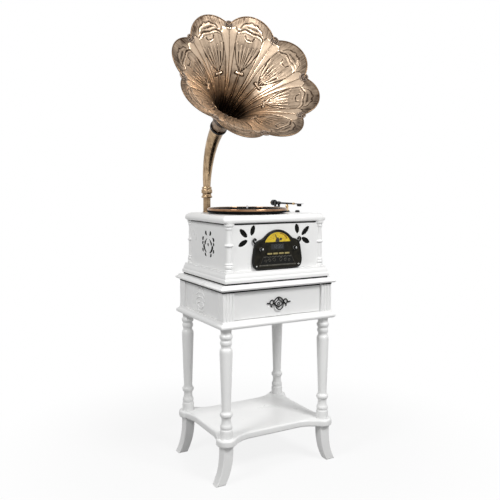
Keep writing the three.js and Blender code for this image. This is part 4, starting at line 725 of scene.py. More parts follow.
# Table top
# A 20 mm board whose upper edge is run into an ogee, glued over the posts and aprons. Thin black strips
# under it are painted shade: their edge shows as a dark line under its overhang. The player case stands on
# it.
TABLE_WIDTH = 0.48
TABLE_DEPTH = 0.4
TOP_MOULD = 0.012
TABLE_HEIGHT = 0.7
TOP_SHARES = [(0.85, 0), (0.35, 0.08), (0, 0.28), (0, 0.45), (0.4, 0.6), (0.75, 0.8), (1, 1)]
TOP_STRIP = 0.0052
STRIP_PROUD = 0.0003
POST_STRIP_DEPTH = 0.002
DRAWER_STRIP = (0.0002, 0.006)  # behind the drawer's face: its front and its back
DRAWER_STRIP_GAP = 0.0005

# Painted shade: a flat black for thin strips that stand for the shadow under overhangs.
painted_shade_black = skin("painted_shade_black", (0.004, 0.004, 0.004), (0.008, 0.008, 0.008), 0.01, 0.0007,
                   0.8, 0.9, 0.0002, Specular_IOR_Level=0.1)

top_line = moulding(TOP_SHARES, TOP_MOULD, APRON_HIGH, TABLE_HEIGHT - APRON_HIGH)
white_piece("table_top", moulded_board(TABLE_WIDTH, TABLE_DEPTH, BOARD_CORNER, top_line), "table_top")

# Painted shade: black strips round the apron and behind the drawer's top edge, under the top's overhang.
low, high = panel_high - TOP_STRIP, panel_high
front = -POST_Y - STRIP_PROUD
strips = []
for sx in (1, -1):
    panel_face = sx * (POST_X - PANEL_INSET)
    strips.append(eased_block((sx * (POST_X + STRIP_PROUD), front, low), (panel_face, POST_Y, high), 0))
    strips.append(eased_block((panel_face, front, low),
                              (sx * (POST_X - POST_SIZE), -POST_Y + POST_STRIP_DEPTH, high), 0))
strips.append(eased_block((-DRAWER_X, DRAWER_FACE + DRAWER_STRIP[0], front_top + DRAWER_STRIP_GAP),
                          (DRAWER_X, DRAWER_FACE + DRAWER_STRIP[1], high), 0))
piece("top_shade_strips", joined(strips), "cabinet", "black_plastic", painted_shade_black)

# Plinth
# The stepped foot of the player case, moulded round four sides and hollowed above its floor for the
# amplifier. It stands on a black strip set back under its edge, which is painted shade in the gap beneath it.
PLINTH_WIDTH = 0.436
PLINTH_DEPTH = 0.368
PLINTH_LOW = 0.7003
PLINTH_FLOOR = 0.708
CASE_LOW = 0.742
PLINTH_MOULD = 0.009
PLINTH_SHARES = [
    (0.2, 0), (0, 0.06), (0, 0.3), (0.25, 0.38), (0.42, 0.42), (0.42, 0.52), (0.62, 0.72), (0.9, 0.84),
    (1, 1),
]
PLINTH_WALL = 0.0323
PLINTH_REBATE = 0.0045
PLINTH_STRIP = 0.005
STRIP_HOUSING = 0.0002

plinth_low = PLINTH_LOW + PLINTH_STRIP
plinth_line = [*moulding(PLINTH_SHARES, PLINTH_MOULD, plinth_low, CASE_LOW - plinth_low),
               (PLINTH_WALL, CASE_LOW), (PLINTH_WALL, PLINTH_FLOOR)]
plinth = moulded_board(PLINTH_WIDTH, PLINTH_DEPTH, BOARD_CORNER, plinth_line)
white_piece("plinth", plinth, "plinth")
# Painted shade: the black strip makes the gap under the plinth read dark.
strip = moulded_board(PLINTH_WIDTH, PLINTH_DEPTH, BOARD_CORNER,
                      [(PLINTH_REBATE, PLINTH_LOW), (PLINTH_REBATE, plinth_low + STRIP_HOUSING)])
piece("plinth_shade_strip", strip, "cabinet", "black_plastic", painted_shade_black, ["plinth"])

# Case walls
# Boards housed in the corner columns, under a black strip that is painted shade below the deck. The front is
# sawn with three pointed leaves at each side of the radio, and each side with a round fret. Black cloth is
# stretched behind the thin outer layers.
CASE_X = 0.196
CASE_Y = 0.163
CASE_HIGH = 0.91
CASE_GAP = 0.0003
WALL_X = 0.184
WALL_Y = 0.151
WALL_THICKNESS = 0.01
SKIN_THICKNESS = 0.003
FRET_THICKNESS = 0.0012
CLOTH_THICKNESS = 0.0006
WALL_EASE = 0.0006
FRET_EASE = 0.0003
LINER_EASE = 0.0004
LEAF_HALF_WIDTH = 0.0092
LEAF_BLUNTNESS = 1.15
LEAVES = [  # tip and stem of each leaf
    ((-0.1485, 0.89), (-0.12, 0.861)), ((-0.0925, 0.9025), (-0.1025, 0.8665)),
    ((-0.154, 0.831), (-0.1185, 0.85)), ((0.1395, 0.8915), (0.108, 0.8605)),
    ((0.084, 0.9025), (0.0905, 0.867)), ((0.142, 0.831), (0.108, 0.851)),
]
FRET_Y = -0.006
FRET_Z = 0.826
FRET_OPENING = 0.056
FRET_DROPS = [  # thick end, thin end, width of the thick end, bend: about the fret's centre, right half
    ((0.017, 0.0425), (0.008, 0.034), 0.0052, 0.2), ((0.04, 0.0195), (0.03, 0.027), 0.005, -0.2),
    ((0.0235, 0.0045), (0.005, 0.0235), 0.0042, -0.12), ((0.041, 0.004), (0.036, 0.012), 0.0045, 0.1),
    ((0.031, -0.0085), (0.0075, -0.0295), 0.0056, 0.3), ((0.04, -0.0215), (0.034, -0.03), 0.0046, 0.1),
    ((0.021, -0.0365), (0.012, -0.044), 0.0045, 0.15),
]
FRET_EYE = 0.006
FRET_SWELL = 1.46
FRET_WIDEN = 1.1
LID_STRIP = 0.0044
LID_STRIP_PROUD = 0.0012
LID_STRIP_ENDS = (0.014, 0.012)  # how far it ends before the wall's end: front and back, sides
SOCKET_HOLE = (0.0375, 0.772, 0.0143, 0.0103)  # its middle, half width and half height

black_cloth = skin("black_cloth", (0.004, 0.004, 0.004), (0.009, 0.009, 0.008), 0.01, 0.0009,
                   0.9, 0.97, 0.0006, Specular_IOR_Level=0.1)


def rectangle(x0, y0, x1, y1):
    return [(x0, y0), (x1, y0), (x1, y1), (x0, y1)]


def leaf_outline(tip, stem):
    """Closed outline of a leaf with blunt ends between its tip and its stem."""
    tip, stem = Vector(tip), Vector(stem)
    along = (tip - stem) / 2
    side = along.orthogonal().normalized() * LEAF_HALF_WIDTH
    middle = (tip + stem) / 2
    turns = [math.pi * k / 16 for k in range(32)]
    widths = [math.copysign(abs(math.sin(a)) ** LEAF_BLUNTNESS, math.sin(a)) for a in turns]
    return [middle + along * math.cos(a) + side * width for a, width in zip(turns, widths)]


def drop_outline(thick, thin, width, bend):
    """Closed outline of a curled drop: round at its thick end and drawn out to a point."""
    thick, thin = Vector(thick), Vector(thin)
    along = (thin - thick).normalized()
    side = Vector((-along.y, along.x))
    turn = math.atan2(along.y, along.x)
    head = arc(thick, width, turn + math.pi / 2, turn + 3 * math.pi / 2, 12)
    middle = (thick + thin) / 2 + side * bend * (thin - thick).length
    under = bow(head[-1], middle - side * width * 0.6, thin, 8)
    return head + under + bow(thin, middle + side * width * 0.6, head[0], 8)[:-1]


def facing_board(outlines, face, thickness, ease, *steps):
    """An upright board that reaches back from its face, moved on by the steps."""
    return moved(cut_board(outlines, thickness, ease), UPRIGHT, (0, face + thickness / 2, 0), *steps)


def layered_wall(name, cloth_name, half_width, face, skin_thickness, ease, cuts, liner_cuts, turn):
    """A wall of two layers with its cut-outs, and the cloth between them, turned to its side of the case."""
    wall = rectangle(-half_width, wall_low, half_width, wall_high)
    inner = WALL_THICKNESS - skin_thickness - CLOTH_THICKNESS
    layers = [facing_board([wall, *cuts], face, skin_thickness, ease, turn),
              facing_board([wall, *liner_cuts], face + WALL_THICKNESS - inner, inner, LINER_EASE, turn)]
    white_piece(name, joined(layers), name)
    cloth = facing_board([wall], face + skin_thickness, CLOTH_THICKNESS, 0, turn)
    cloth = piece(cloth_name, cloth, "cabinet", "grille_cloth", black_cloth, [name])


wall_low, wall_high = CASE_LOW + CASE_GAP, CASE_HIGH - CASE_GAP
leaves = [leaf_outline(tip, stem) for tip, stem in LEAVES]
layered_wall("case_front", "front_cloth", WALL_X, -CASE_Y, SKIN_THICKNESS, WALL_EASE, leaves, leaves,
             Matrix.Identity(4))
for side, sx in SIDES.items():
    middle = sx * FRET_Y
    drops = [circle((middle, FRET_Z), FRET_EYE)]
    for sign in (1, -1):
        for thick, thin, width, bend in FRET_DROPS:
            ends = [(middle + sign * x * FRET_WIDEN, FRET_Z + z) for x, z in (thick, thin)]
            drops.append(drop_outline(*ends, width * FRET_SWELL, sign * bend))
    layered_wall("case_" + side, "fret_cloth_" + side, WALL_Y, -CASE_X, FRET_THICKNESS, FRET_EASE, drops,
                 [circle((middle, FRET_Z), FRET_OPENING, 40)], Matrix.Rotation(sx * math.pi / 2, 4, "Z"))
x, z, half_x, half_z = SOCKET_HOLE
wall = [rectangle(-WALL_X, wall_low, WALL_X, wall_high),
        rectangle(x - half_x, z - half_z, x + half_x, z + half_z)]
white_piece("case_back", facing_board(wall, CASE_Y - WALL_THICKNESS, WALL_THICKNESS, WALL_EASE), "case_back")

# Painted shade: black strips along the walls' tops, between the columns, stand for the shadow under the deck.
low, high = wall_high - LID_STRIP, wall_high
half_x, half_y = WALL_X - LID_STRIP_ENDS[0], WALL_Y - LID_STRIP_ENDS[1]
strips = [eased_block((-half_x, sy * (CASE_Y + LID_STRIP_PROUD), low), (half_x, sy * CASE_Y, high), 0)
          for sy in (1, -1)]
strips += [eased_block((sx * (CASE_X + LID_STRIP_PROUD), -half_y, low), (sx * CASE_X, half_y, high), 0)
           for sx in (1, -1)]
piece("lid_shade_strips", joined(strips), "cabinet", "black_plastic", painted_shade_black)

# Corner columns
# Four small turned columns, grooved for the walls, which hide the corners of the case. Each has rings at its
# foot, a thin ring at half height and a wider cap under the deck.
COLUMN_RADIUS = 0.017
COLUMN_X = 0.188
COLUMN_Y = 0.155
COLUMN_SHARES = [
    (0.96, 0), (0.96, 0.05), (0.76, 0.062), (0.95, 0.075), (0.95, 0.125), (0.8, 0.138), (0.9, 0.15),
    (0.9, 0.17), (0.7, 0.182), (0.74, 0.3), (0.7, 0.52), (0.95, 0.533), (0.95, 0.563), (0.7, 0.577),
    (0.68, 0.87), (0.82, 0.885), (0.82, 0.92), (0.72, 0.932), (1, 0.945), (1, 1),
]
COLUMN_SOFT = 0.002

for corner, (sx, sy) in CORNERS.items():
    column = spindle_turned(COLUMN_SHARES, COLUMN_RADIUS, wall_high - wall_low, COLUMN_SOFT)
    moved(column, (sx * COLUMN_X, sy * COLUMN_Y, wall_low))
    white_piece("column_" + corner, column, "column_" + corner, even=False)

# Deck
# The moulded lid of the case, which carries the turntable. It is hollow below, and its edge rolls over in a
# wide thumb moulding with a fine bead under it.
DECK_WIDTH = 0.426
DECK_DEPTH = 0.338
DECK_TOP = 0.937
DECK_CORNER = 0.01
DECK_MOULD = 0.016
DECK_BOARD = 0.012
DECK_RIM = 0.023
DECK_SHARES = [(0.3, 0), (0.1, 0.08), (0, 0.25), (0, 0.5), (0.19, 0.72), (0.56, 0.92), (1, 1)]

deck_line = [(DECK_RIM, DECK_TOP - DECK_BOARD), (DECK_RIM, CASE_HIGH),
             *moulding(DECK_SHARES, DECK_MOULD, CASE_HIGH, DECK_TOP - CASE_HIGH)]
white_piece("deck", moulded_board(DECK_WIDTH, DECK_DEPTH, DECK_CORNER, deck_line, corner_steps=10), "deck")

# Inside the case
# A cloth-covered board behind the front wall, a loudspeaker behind each side fret, and the amplifier with its
# heat sink and mains socket on standoffs over the plinth's floor.
speaker_black = skin("speaker_black", (0.02, 0.02, 0.02), (0.035, 0.034, 0.032), 0.02, 0.0008,
                     0.5, 0.75, 0.0002)
board_green = skin("board_green", (0.01, 0.1, 0.04), (0.02, 0.16, 0.06), 0.008, 0.001, 0.35, 0.5, 0.0002)

dress(["grille_board"], black_cloth)
dress(["speaker_left", "speaker_right"], speaker_black)
dress(["amplifier_board"], board_green)

# Drive
# A small motor hangs under the deck. Its brass pulley turns a flat rubber belt, which runs round a rim under
# the platter.
belt_rubber = skin("belt_rubber", (0.015, 0.015, 0.015), (0.03, 0.03, 0.03), 0.02, 0.0006, 0.6, 0.8, 0.0001)
pressed_steel = skin("pressed_steel", (0.5, 0.5, 0.51), (0.42, 0.42, 0.43), 0.01, 0.0008, 0.25, 0.4, 0.00005,
                     Metallic=1.0)
polished_brass = skin("polished_brass", (0.78, 0.56, 0.3), (0.66, 0.45, 0.22), 0.01, 0.0008,
                      0.18, 0.3, 0.00003, Metallic=1.0)

dress(["motor"], pressed_steel)
dress(["motor_pulley"], polished_brass)
dress(["drive_belt"], belt_rubber)

# Platter
# A cast platter whose polished copper rim stands up round a ribbed rubber mat, with a lip of pale metal that
# stands in for the highlight along its top. Below are a black skirt, painted shade under the rim, the belt
# rim and the hub, and a turned steel spindle stands in the middle.
PLATTER_X = -0.03
PLATTER_RADIUS = 0.15
PLATTER_LOW = 0.941
PLATTER_HIGH = 0.953
PLATTER_WEB = 0.9485
PLATTER_BORE = 0.0037
HUB_RADIUS = 0.014
BELT_RIM_RADIUS = 0.058
BELT_RIM_WALL = 0.004
BELT_RIM_HIGH = 0.9478
SKIRT_HIGH = 0.9484
MAT_LOW = 0.9533
MAT_HIGH = 0.9547
MAT_RADIUS = 0.145
MAT_BORE = 0.0042
MAT_EDGE_RIB = 0.14
MAT_FIRST_RIB = 0.136
MAT_LABEL = 0.05
MAT_RIB = 0.002
MAT_GROOVE = 0.0006
MAT_PITCH = 0.0065
RIM_TOP = 0.9568
SKIRT_RADIUS = 0.1484
SPINDLE_RADIUS = 0.0036
SPINDLE_LOW = 0.911
SPINDLE_TIP = 0.9673
PLATTER_STEPS = 128

copper = skin("copper_rim", (0.44, 0.27, 0.16), (0.2, 0.1, 0.05), 0.045, 0.0012, 0.14, 0.22, 0.00004,
              Metallic=1.0)
# Painted highlight: a pale metal for the lip, for the bright line along the rim's top.
lip_highlight = skin("lip_highlight", (0.75, 0.7, 0.64), (0.6, 0.5, 0.42), 0.03, 0.001, 0.2, 0.3, 0.00003,
                  Metallic=1.0)
# Painted shade: a flat black for the skirt, for the dark band under the copper rim.
skirt_shade_black = skin("skirt_shade_black", (0.002, 0.002, 0.002), (0.004, 0.004, 0.004), 0.03, 0.0008,
                   0.6, 0.75, 0.0001, Specular_IOR_Level=0.05)
mat_rubber = skin("mat_rubber", (0.002, 0.002, 0.002), (0.004, 0.004, 0.004), 0.03, 0.0007, 0.9, 1.0, 0.0002,
                  Specular_IOR_Level=0.02)


def platter_piece(name, shape, slot, material, replaced):
    piece(name, moved(shape, (PLATTER_X, 0, 0)), "platter", slot, material, [replaced])


rim = [(0.056, PLATTER_WEB), (0.1478, PLATTER_WEB), (0.1492, 0.9488), (PLATTER_RADIUS, 0.9496),
       (PLATTER_RADIUS, 0.955), (0.1488, RIM_TOP), (0.1472, RIM_TOP), (0.1462, 0.9552),
       (0.1458, PLATTER_HIGH), (PLATTER_BORE, PLATTER_HIGH), (PLATTER_BORE, PLATTER_LOW),
       (HUB_RADIUS, PLATTER_LOW), (HUB_RADIUS, PLATTER_WEB)]
platter_piece("platter", turned_ring(rim, 0.0006, PLATTER_STEPS), "copper_rim", copper, "platter")
lip = [(0.1458, RIM_TOP - 0.0012), (0.146, RIM_TOP + 0.0001), (0.1472, RIM_TOP + 0.0004),
       (0.1482, RIM_TOP + 0.0001)]
platter_piece("platter_lip", turned(lip, PLATTER_STEPS, closed=True), "steel", lip_highlight, "platter")
belt_rim = rectangle(BELT_RIM_RADIUS - BELT_RIM_WALL, PLATTER_LOW, BELT_RIM_RADIUS, BELT_RIM_HIGH)
skirt = [(0.132, 0.9477), (0.132, PLATTER_LOW), (SKIRT_RADIUS - 0.0025, PLATTER_LOW), (SKIRT_RADIUS, 0.9426),
         (SKIRT_RADIUS, SKIRT_HIGH)]
skirt = joined([turned(belt_rim, 96, closed=True), turned_ring(skirt, 0.0004, PLATTER_STEPS)])
platter_piece("platter_skirt", skirt, "black_metal", skirt_shade_black, "platter")
groove = MAT_HIGH - MAT_GROOVE
ribs = [(MAT_BORE, MAT_LOW), (MAT_RADIUS - 0.0004, MAT_LOW), (MAT_RADIUS, MAT_LOW + 0.0004),
        (MAT_RADIUS, MAT_HIGH - 0.0008), (MAT_RADIUS - 0.0008, MAT_HIGH), (MAT_EDGE_RIB + 0.001, MAT_HIGH),
        (MAT_EDGE_RIB, groove)]
radius = MAT_FIRST_RIB
while radius > BELT_RIM_RADIUS:
    ribs += [(radius + MAT_RIB, groove), (radius + 0.75 * MAT_RIB, MAT_HIGH),
             (radius - 0.75 * MAT_RIB, MAT_HIGH), (radius - MAT_RIB, groove)]
    radius -= MAT_PITCH
ribs += [(MAT_LABEL + 0.0015, groove), (MAT_LABEL, MAT_HIGH), (MAT_BORE, MAT_HIGH)]
mat = turned(ribs, PLATTER_STEPS, closed=True)
platter_piece("platter_mat", mat, "black_rubber", mat_rubber, "platter_mat")
pin = [(0, SPINDLE_LOW), (SPINDLE_RADIUS, SPINDLE_LOW), (SPINDLE_RADIUS, 0.9373), (0.012, 0.9373),
       (0.012, 0.9407), (SPINDLE_RADIUS, 0.9407), (SPINDLE_RADIUS, 0.9625), (0.0032, 0.9652),
       (0.0018, 0.9668), (0, SPINDLE_TIP)]
platter_piece("spindle", turned(pin, 32), "steel", pressed_steel, "spindle")

# Tonearm base
# A black moulded pedestal with a wide foot, screwed to the deck. A lug beside it carries the lift lever, and
# the yoke turns in it on a pin.
ARM_AT = Vector((0.16, 0.095, DECK_TOP))
ARM_Z = 0.033
LEVER_X = 0.026
LEVER_Z = 0.01
LUG_BLOCK = ((0.008, -0.0025, 0.0003), (LEVER_X - 0.0023, 0.0025, 0.015))
LUG_EASE = 0.0008
PEDESTAL_SOFT = 0.001
SCREW_CIRCLE = 0.0192
SCREW_TURNS = (70, 190, 310)

black_plastic = skin("black_plastic", (0.005, 0.005, 0.005), (0.01, 0.01, 0.01), 0.02, 0.0007,
                     0.26, 0.4, 0.00008, Specular_IOR_Level=0.3)
black_enamel = skin("black_enamel", (0.004, 0.004, 0.005), (0.009, 0.009, 0.009), 0.015, 0.0009,
                    0.16, 0.28, 0.00004, Specular_IOR_Level=0.3)
chrome = skin("chrome", (0.78, 0.78, 0.79), (0.7, 0.7, 0.71), 0.01, 0.0008, 0.06, 0.14, 0.00002, Metallic=1.0)


def plain_pin(radius, low, high, steps):
    return turned([(0, low), (radius, low), (radius, high), (0, high)], steps)


foot = [(0, 0.0003), (0.0226, 0.0003), (0.023, 0.001), (0.023, 0.0032), (0.0218, 0.004), (0.0185, 0.0044),
        (0.0165, 0.0062), (0.0135, 0.0085), (0.012, 0.0105), (0.012, 0.0143), (0.0112, 0.015), (0, 0.015)]
base = joined([turned(soft_line(foot, PEDESTAL_SOFT)), eased_block(*LUG_BLOCK, LUG_EASE)])
piece("tonearm_pedestal", moved(base, ARM_AT), "cabinet", "black_plastic", black_plastic,
      ["tonearm_pedestal"])
screw = [(0, 0.0038), (0.0024, 0.0038), (0.0024, 0.0048), (0.0016, 0.0056), (0, 0.0058)]
screws = [moved(turned(screw, 24), (SCREW_CIRCLE * math.cos(a), SCREW_CIRCLE * math.sin(a), 0))
          for a in map(math.radians, SCREW_TURNS)]
piece("pedestal_screws", moved(joined(screws), ARM_AT), "cabinet", "steel", chrome)

# Yoke
# A U of black enamelled metal with rounded cheeks, which swings on its pin in the pedestal. The pivots of the
# arm's block run in its cheeks.
YOKE_HALF = 0.0101
CHEEK_IN = 0.0071
YOKE_LOW = 0.0153
YOKE_HALF_DEPTH = 0.007
YOKE_FLOOR = 0.004
YOKE_STEP = 0.0005
YOKE_EASE = 0.0007
YOKE_PIN = (0.004, 0.003, 0.0165)  # radius, low end, high end

cheek = [(-YOKE_HALF_DEPTH, YOKE_LOW), (YOKE_HALF_DEPTH, YOKE_LOW),
         *arc((0, ARM_Z), YOKE_HALF_DEPTH, 0, math.pi, 20)]
cheeks = [moved(cut_board([cheek], YOKE_HALF - CHEEK_IN, YOKE_EASE), UPRIGHT,
                Matrix.Rotation(math.pi / 2, 4, "Z"), (sign * (YOKE_HALF + CHEEK_IN) / 2, 0, 0))
          for sign in (1, -1)]
floor_block = eased_block((-YOKE_HALF + YOKE_STEP, -YOKE_HALF_DEPTH, YOKE_LOW),
                          (YOKE_HALF - YOKE_STEP, YOKE_HALF_DEPTH, YOKE_LOW + YOKE_FLOOR), YOKE_EASE)
yoke = moved(joined([*cheeks, floor_block, plain_pin(*YOKE_PIN, 32)]), ARM_AT)
piece("tonearm_yoke", yoke, "yoke", "black_metal", black_enamel, ["tonearm_yoke"])

# Arm
# A straight brass tube with a black cross block at its pivots and a black sleeve shrunk over its front. The
# stub behind the block carries the counterweight, and a brass collar nut holds the headshell.
TO_FRONT = Matrix.Rotation(math.pi / 2, 4, "X")
TO_RIGHT = Matrix.Rotation(math.pi / 2, 4, "Y")
ARM_AXIS = ARM_AT + Vector((0, 0, ARM_Z))
BLOCK_HALF = 0.0065
BLOCK_EASE = 0.0014
PIVOT_RADIUS = 0.0015
PIVOT_REACH = 0.0098
SLEEVE_SOFT = 0.0008

tube = [(0, -0.048), (0.0034, -0.048), (0.004, -0.0474), (0.004, -0.0066), (0.0046, -0.006), (0.0046, 0.0075),
        (0.0026, 0.0095), (0.0026, 0.118), (0.0044, 0.1186), (0.0044, 0.1262), (0.0036, 0.128), (0, 0.128)]
tube = moved(turned(tube, 32), TO_FRONT, ARM_AXIS)
piece("tonearm_tube", tube, "tonearm", "arm_brass", polished_brass, ["tonearm_tube"])
sleeve = [(0.0026, 0.0075), (0.0058, 0.0075), (0.0062, 0.009), (0.0062, 0.022), (0.0054, 0.0245),
          (0.0036, 0.0275), (0.0034, 0.1165), (0.0026, 0.1165)]
sleeve = moved(turned_ring(sleeve, SLEEVE_SOFT, 32), TO_FRONT, ARM_AXIS)
piece("tonearm_sleeve", sleeve, "tonearm", "black_metal", black_enamel, ["tonearm_tube"])
block = eased_block((-BLOCK_HALF,) * 3, (BLOCK_HALF,) * 3, BLOCK_EASE)
pivots = moved(plain_pin(PIVOT_RADIUS, -PIVOT_REACH, PIVOT_REACH, 16), TO_RIGHT)
block = moved(joined([block, pivots]), ARM_AXIS)
piece("tonearm_block", block, "tonearm", "black_metal", black_enamel, ["tonearm_tube"])

# Counterweight
# A black turned cylinder with a narrower dial ring in front, which slides along the arm's stub.
weight = [(0.0043, 0.014), (0.0105, 0.014), (0.0112, 0.0148), (0.0112, 0.0165), (0.0098, 0.0168),
          (0.0098, 0.018), (0.012, 0.0184), (0.012, 0.0308), (0.0108, 0.032), (0.0043, 0.032)]
weight = moved(turned(weight, 48, closed=True), Matrix.Rotation(-math.pi / 2, 4, "X"), ARM_AXIS)
piece("counterweight", weight, "weight", "black_metal", black_enamel, ["counterweight"])

# Headshell
# A black pressed shell with two slots for the cartridge screws, a curved finger lift at its side, and the
# cartridge with its stylus guard under it.
HEAD_BACK = 0.1283
HEAD_FRONT = 0.1703
HEAD_HALF = 0.0085
SLOT_X = 0.0055
SLOT_HALF = 0.0012
SLOT_BACK = 0.146
SLOT_FRONT = 0.164
SHELL_THICKNESS = 0.003
SHELL_EASE = 0.0007
SHELL_SOFT = 0.0016
CARTRIDGE_BLOCK = ((-0.005, -0.17, -0.0091), (0.005, -0.152, -0.0012))
CARTRIDGE_EASE = 0.0012
FINGER_LIFT_BAR = 0.0008
STYLUS_Y = 0.161
STYLUS_Z = -0.0114

head = [(-0.0032, HEAD_BACK), (-HEAD_HALF, HEAD_BACK + 0.009), (-HEAD_HALF, HEAD_FRONT - 0.004),
        (-0.0045, HEAD_FRONT), (0.0045, HEAD_FRONT), (HEAD_HALF, HEAD_FRONT - 0.004),
        (HEAD_HALF, HEAD_BACK + 0.009), (0.0032, HEAD_BACK)]
slots = [rectangle(sign * SLOT_X - SLOT_HALF, SLOT_BACK, sign * SLOT_X + SLOT_HALF, SLOT_FRONT)
         for sign in (1, -1)]
slots = [soft_line(slot, SLOT_HALF, closed=True) for slot in slots]
shell = cut_board([soft_line(head, SHELL_SOFT, closed=True), *slots], SHELL_THICKNESS, SHELL_EASE)
shell = moved(shell, Matrix.Scale(-1, 4, (0, 1, 0)))
bmesh.ops.recalc_face_normals(shell, faces=shell.faces)
cartridge = eased_block(*CARTRIDGE_BLOCK, CARTRIDGE_EASE)
lift = [(HEAD_HALF - 0.001, -0.165, 0.0002), (HEAD_HALF + 0.001, -0.1655, 0.0003),
        (HEAD_HALF + 0.0035, -0.167, 0.0002), (HEAD_HALF + 0.0055, -0.1685, 0.0012)]
lift = rod(soft_line(lift, 1), FINGER_LIFT_BAR)
stylus = [(0, STYLUS_Z), (0.0004, STYLUS_Z + 0.0006), (0.001, -0.0095), (0.001, -0.0085), (0, -0.0085)]
stylus = moved(turned(stylus, 12), (0, -STYLUS_Y, 0))
head = moved(joined([shell, cartridge, lift, stylus]), ARM_AXIS)
piece("headshell", head, "tonearm", "black_plastic", black_enamel, ["headshell"])

# Arm rest
# A turned brass post on a black foot, with a black hook on top that the parked arm lies in.
REST_AT = Vector((0.16, 0.02, DECK_TOP))
REST_SOFT = 0.0008
HOOK_SOFT = 0.002
HOOK_BAR = 0.0013
post = [(0, 0.0045), (0.0072, 0.0045), (0.0076, 0.0065), (0.0052, 0.009), (0.005, 0.019), (0.0066, 0.021),
        (0.0066, 0.0235), (0.0044, 0.025), (0.0044, 0.0283), (0, 0.0283)]
foot = [(0, 0.0003), (0.0106, 0.0003), (0.011, 0.0008), (0.011, 0.0035), (0.0095, 0.005), (0, 0.005)]
post = moved(turned(soft_line(post, REST_SOFT), 48), REST_AT)
piece("arm_rest", post, "cabinet", "arm_brass", polished_brass, ["arm_rest"])
hook = [(-0.0036, 0, 0.0292), (-0.0028, 0, 0.0284), (0, 0, 0.028), (0.0034, 0, 0.0284), (0.0044, 0, 0.0305),
        (0.0046, 0, 0.0348)]
hook = moved(joined([turned(foot, 48), rod(soft_line(hook, HOOK_SOFT), HOOK_BAR, sides=3)]), REST_AT)
piece("arm_rest_hook", hook, "cabinet", "black_plastic", black_plastic, ["arm_rest"])

# Lift lever and speed selector
# The lever is a black rod with a round grip, pinned to the pedestal's lug. The selector is a low black knob
# with a pointer, beside the platter.
LEVER_AT = ARM_AT + Vector((LEVER_X, 0, LEVER_Z))
LEVER_SOFT = 0.001
LEVER_PIN = (0.0015, -0.0068, 0.0012)  # radius and ends
SPEED_AT = Vector((0.176, -0.03, DECK_TOP))
SPEED_SOFT = 0.0006
POINTER_BLOCK = ((-0.0018, -0.0138, 0.0022), (0.0018, -0.002, 0.0058))
POINTER_EASE = 0.0009
lever = [(0, -0.0015), (0.0018, -0.0015), (0.0018, 0.004), (0.0014, 0.006), (0.0014, 0.026), (0.0022, 0.0275),
         (0.0038, 0.0295), (0.004, 0.0315), (0.003, 0.0335), (0, 0.034)]
stem = moved(turned(soft_line(lever, LEVER_SOFT), 24), TO_FRONT)
lever = moved(joined([stem, moved(plain_pin(*LEVER_PIN, 16), TO_RIGHT)]), LEVER_AT)
piece("lift_lever", lever, "lift_lever", "black_metal", black_enamel, ["lift_lever"])
knob = [(0, 0.0003), (0.009, 0.0003), (0.009, 0.0038), (0.0086, 0.0044), (0.0074, 0.0072), (0.0066, 0.008),
        (0, 0.008)]
pointer = eased_block(*POINTER_BLOCK, POINTER_EASE)
knob = moved(joined([turned(soft_line(knob, SPEED_SOFT), 48), pointer]), SPEED_AT)
piece("speed_selector", knob, "speed_selector", "black_plastic", black_plastic, ["speed_selector"])

# Radio panel
# A cast panel in dark bronze lacquer with a black bead round its outline and dial, bolted to the front wall
# through its lower corners. A scroll lug stands out at each shoulder, and the sunk lower field, black as
# painted shade, carries a scalloped frieze.
FASCIA_FACE = -0.1743
FASCIA_BACK = -0.1633
FASCIA_LOW = 0.744
FASCIA_HALF = 0.103
FASCIA_HEIGHT = 0.142
FASCIA_SHARES = [
    (0.84, 0), (0.96, 0.08), (1, 0.22), (0.96, 0.42), (0.9, 0.66), (0.78, 0.735), (0.58, 0.775),
    (0.43, 0.885), (0.22, 0.97), (0, 1),
]
FASCIA_SOFT = 0.012
FASCIA_RELIEF = 0.002  # how far the bead stands out from the panel
FASCIA_EASE = 0.0008
BEAD_RADIUS = 0.0029
BEAD_INSET = 0.0024
DIAL_BEAD_RADIUS = 0.0021
DIAL_BEAD_INSET = -0.0018
TRAY_SHARES = [(0.56, 0.34), (0.7, 0.13)]
TRAY_THICKNESS = 0.006
TRAY_FACE = FASCIA_BACK - TRAY_THICKNESS
SCALLOPS = 9
SCALLOP_DROP = 0.005
SCALLOP_BAR = 0.0019
TRAY_BAR = 0.0017
SILL_BAR = 0.0034
SILL_DROP = 0.004
SILL_WIDTH = 1.06  # against the tray's lower edge
CURLS = [(0.014, 0.014, 0.0085), (0.033, 0.013, 0.007), (0.049, 0.011, 0.0055)]  # across, up, radius
CURL_BAR = 0.0012
CURL_STEP = 0.45
CURL_SHRINK = 0.05
FRIEZE_PROUD = 0.0008
LUG_LINE = [
    (0.0905, 0.838), (0.0965, 0.842), (0.099, 0.85), (0.0945, 0.8555), (0.0885, 0.853), (0.0895, 0.8475),
]
LUG_BAR = 0.0032
LUG_SINK = 0.0046
BOLT_X = 0.0875
BOLT_Z = 0.7575
BOLT_SINK = 0.0025
DIAL_FOOT = 0.841
DIAL_RADIUS = 0.054
DIAL_HEIGHT = 0.035
LCD_LOW = 0.814
LCD_HALF = 0.028
LCD_HEIGHT = 0.021
KNOB_X = 0.0695
KNOB_Z = 0.818
KNOB_HOLE = 0.0033
BUTTON_LOW = 0.797
BUTTON_HALF = 0.01
BUTTON_HEIGHT = 0.006
BUTTON_GAP = 0.0003
BUTTON_PITCH = 0.024

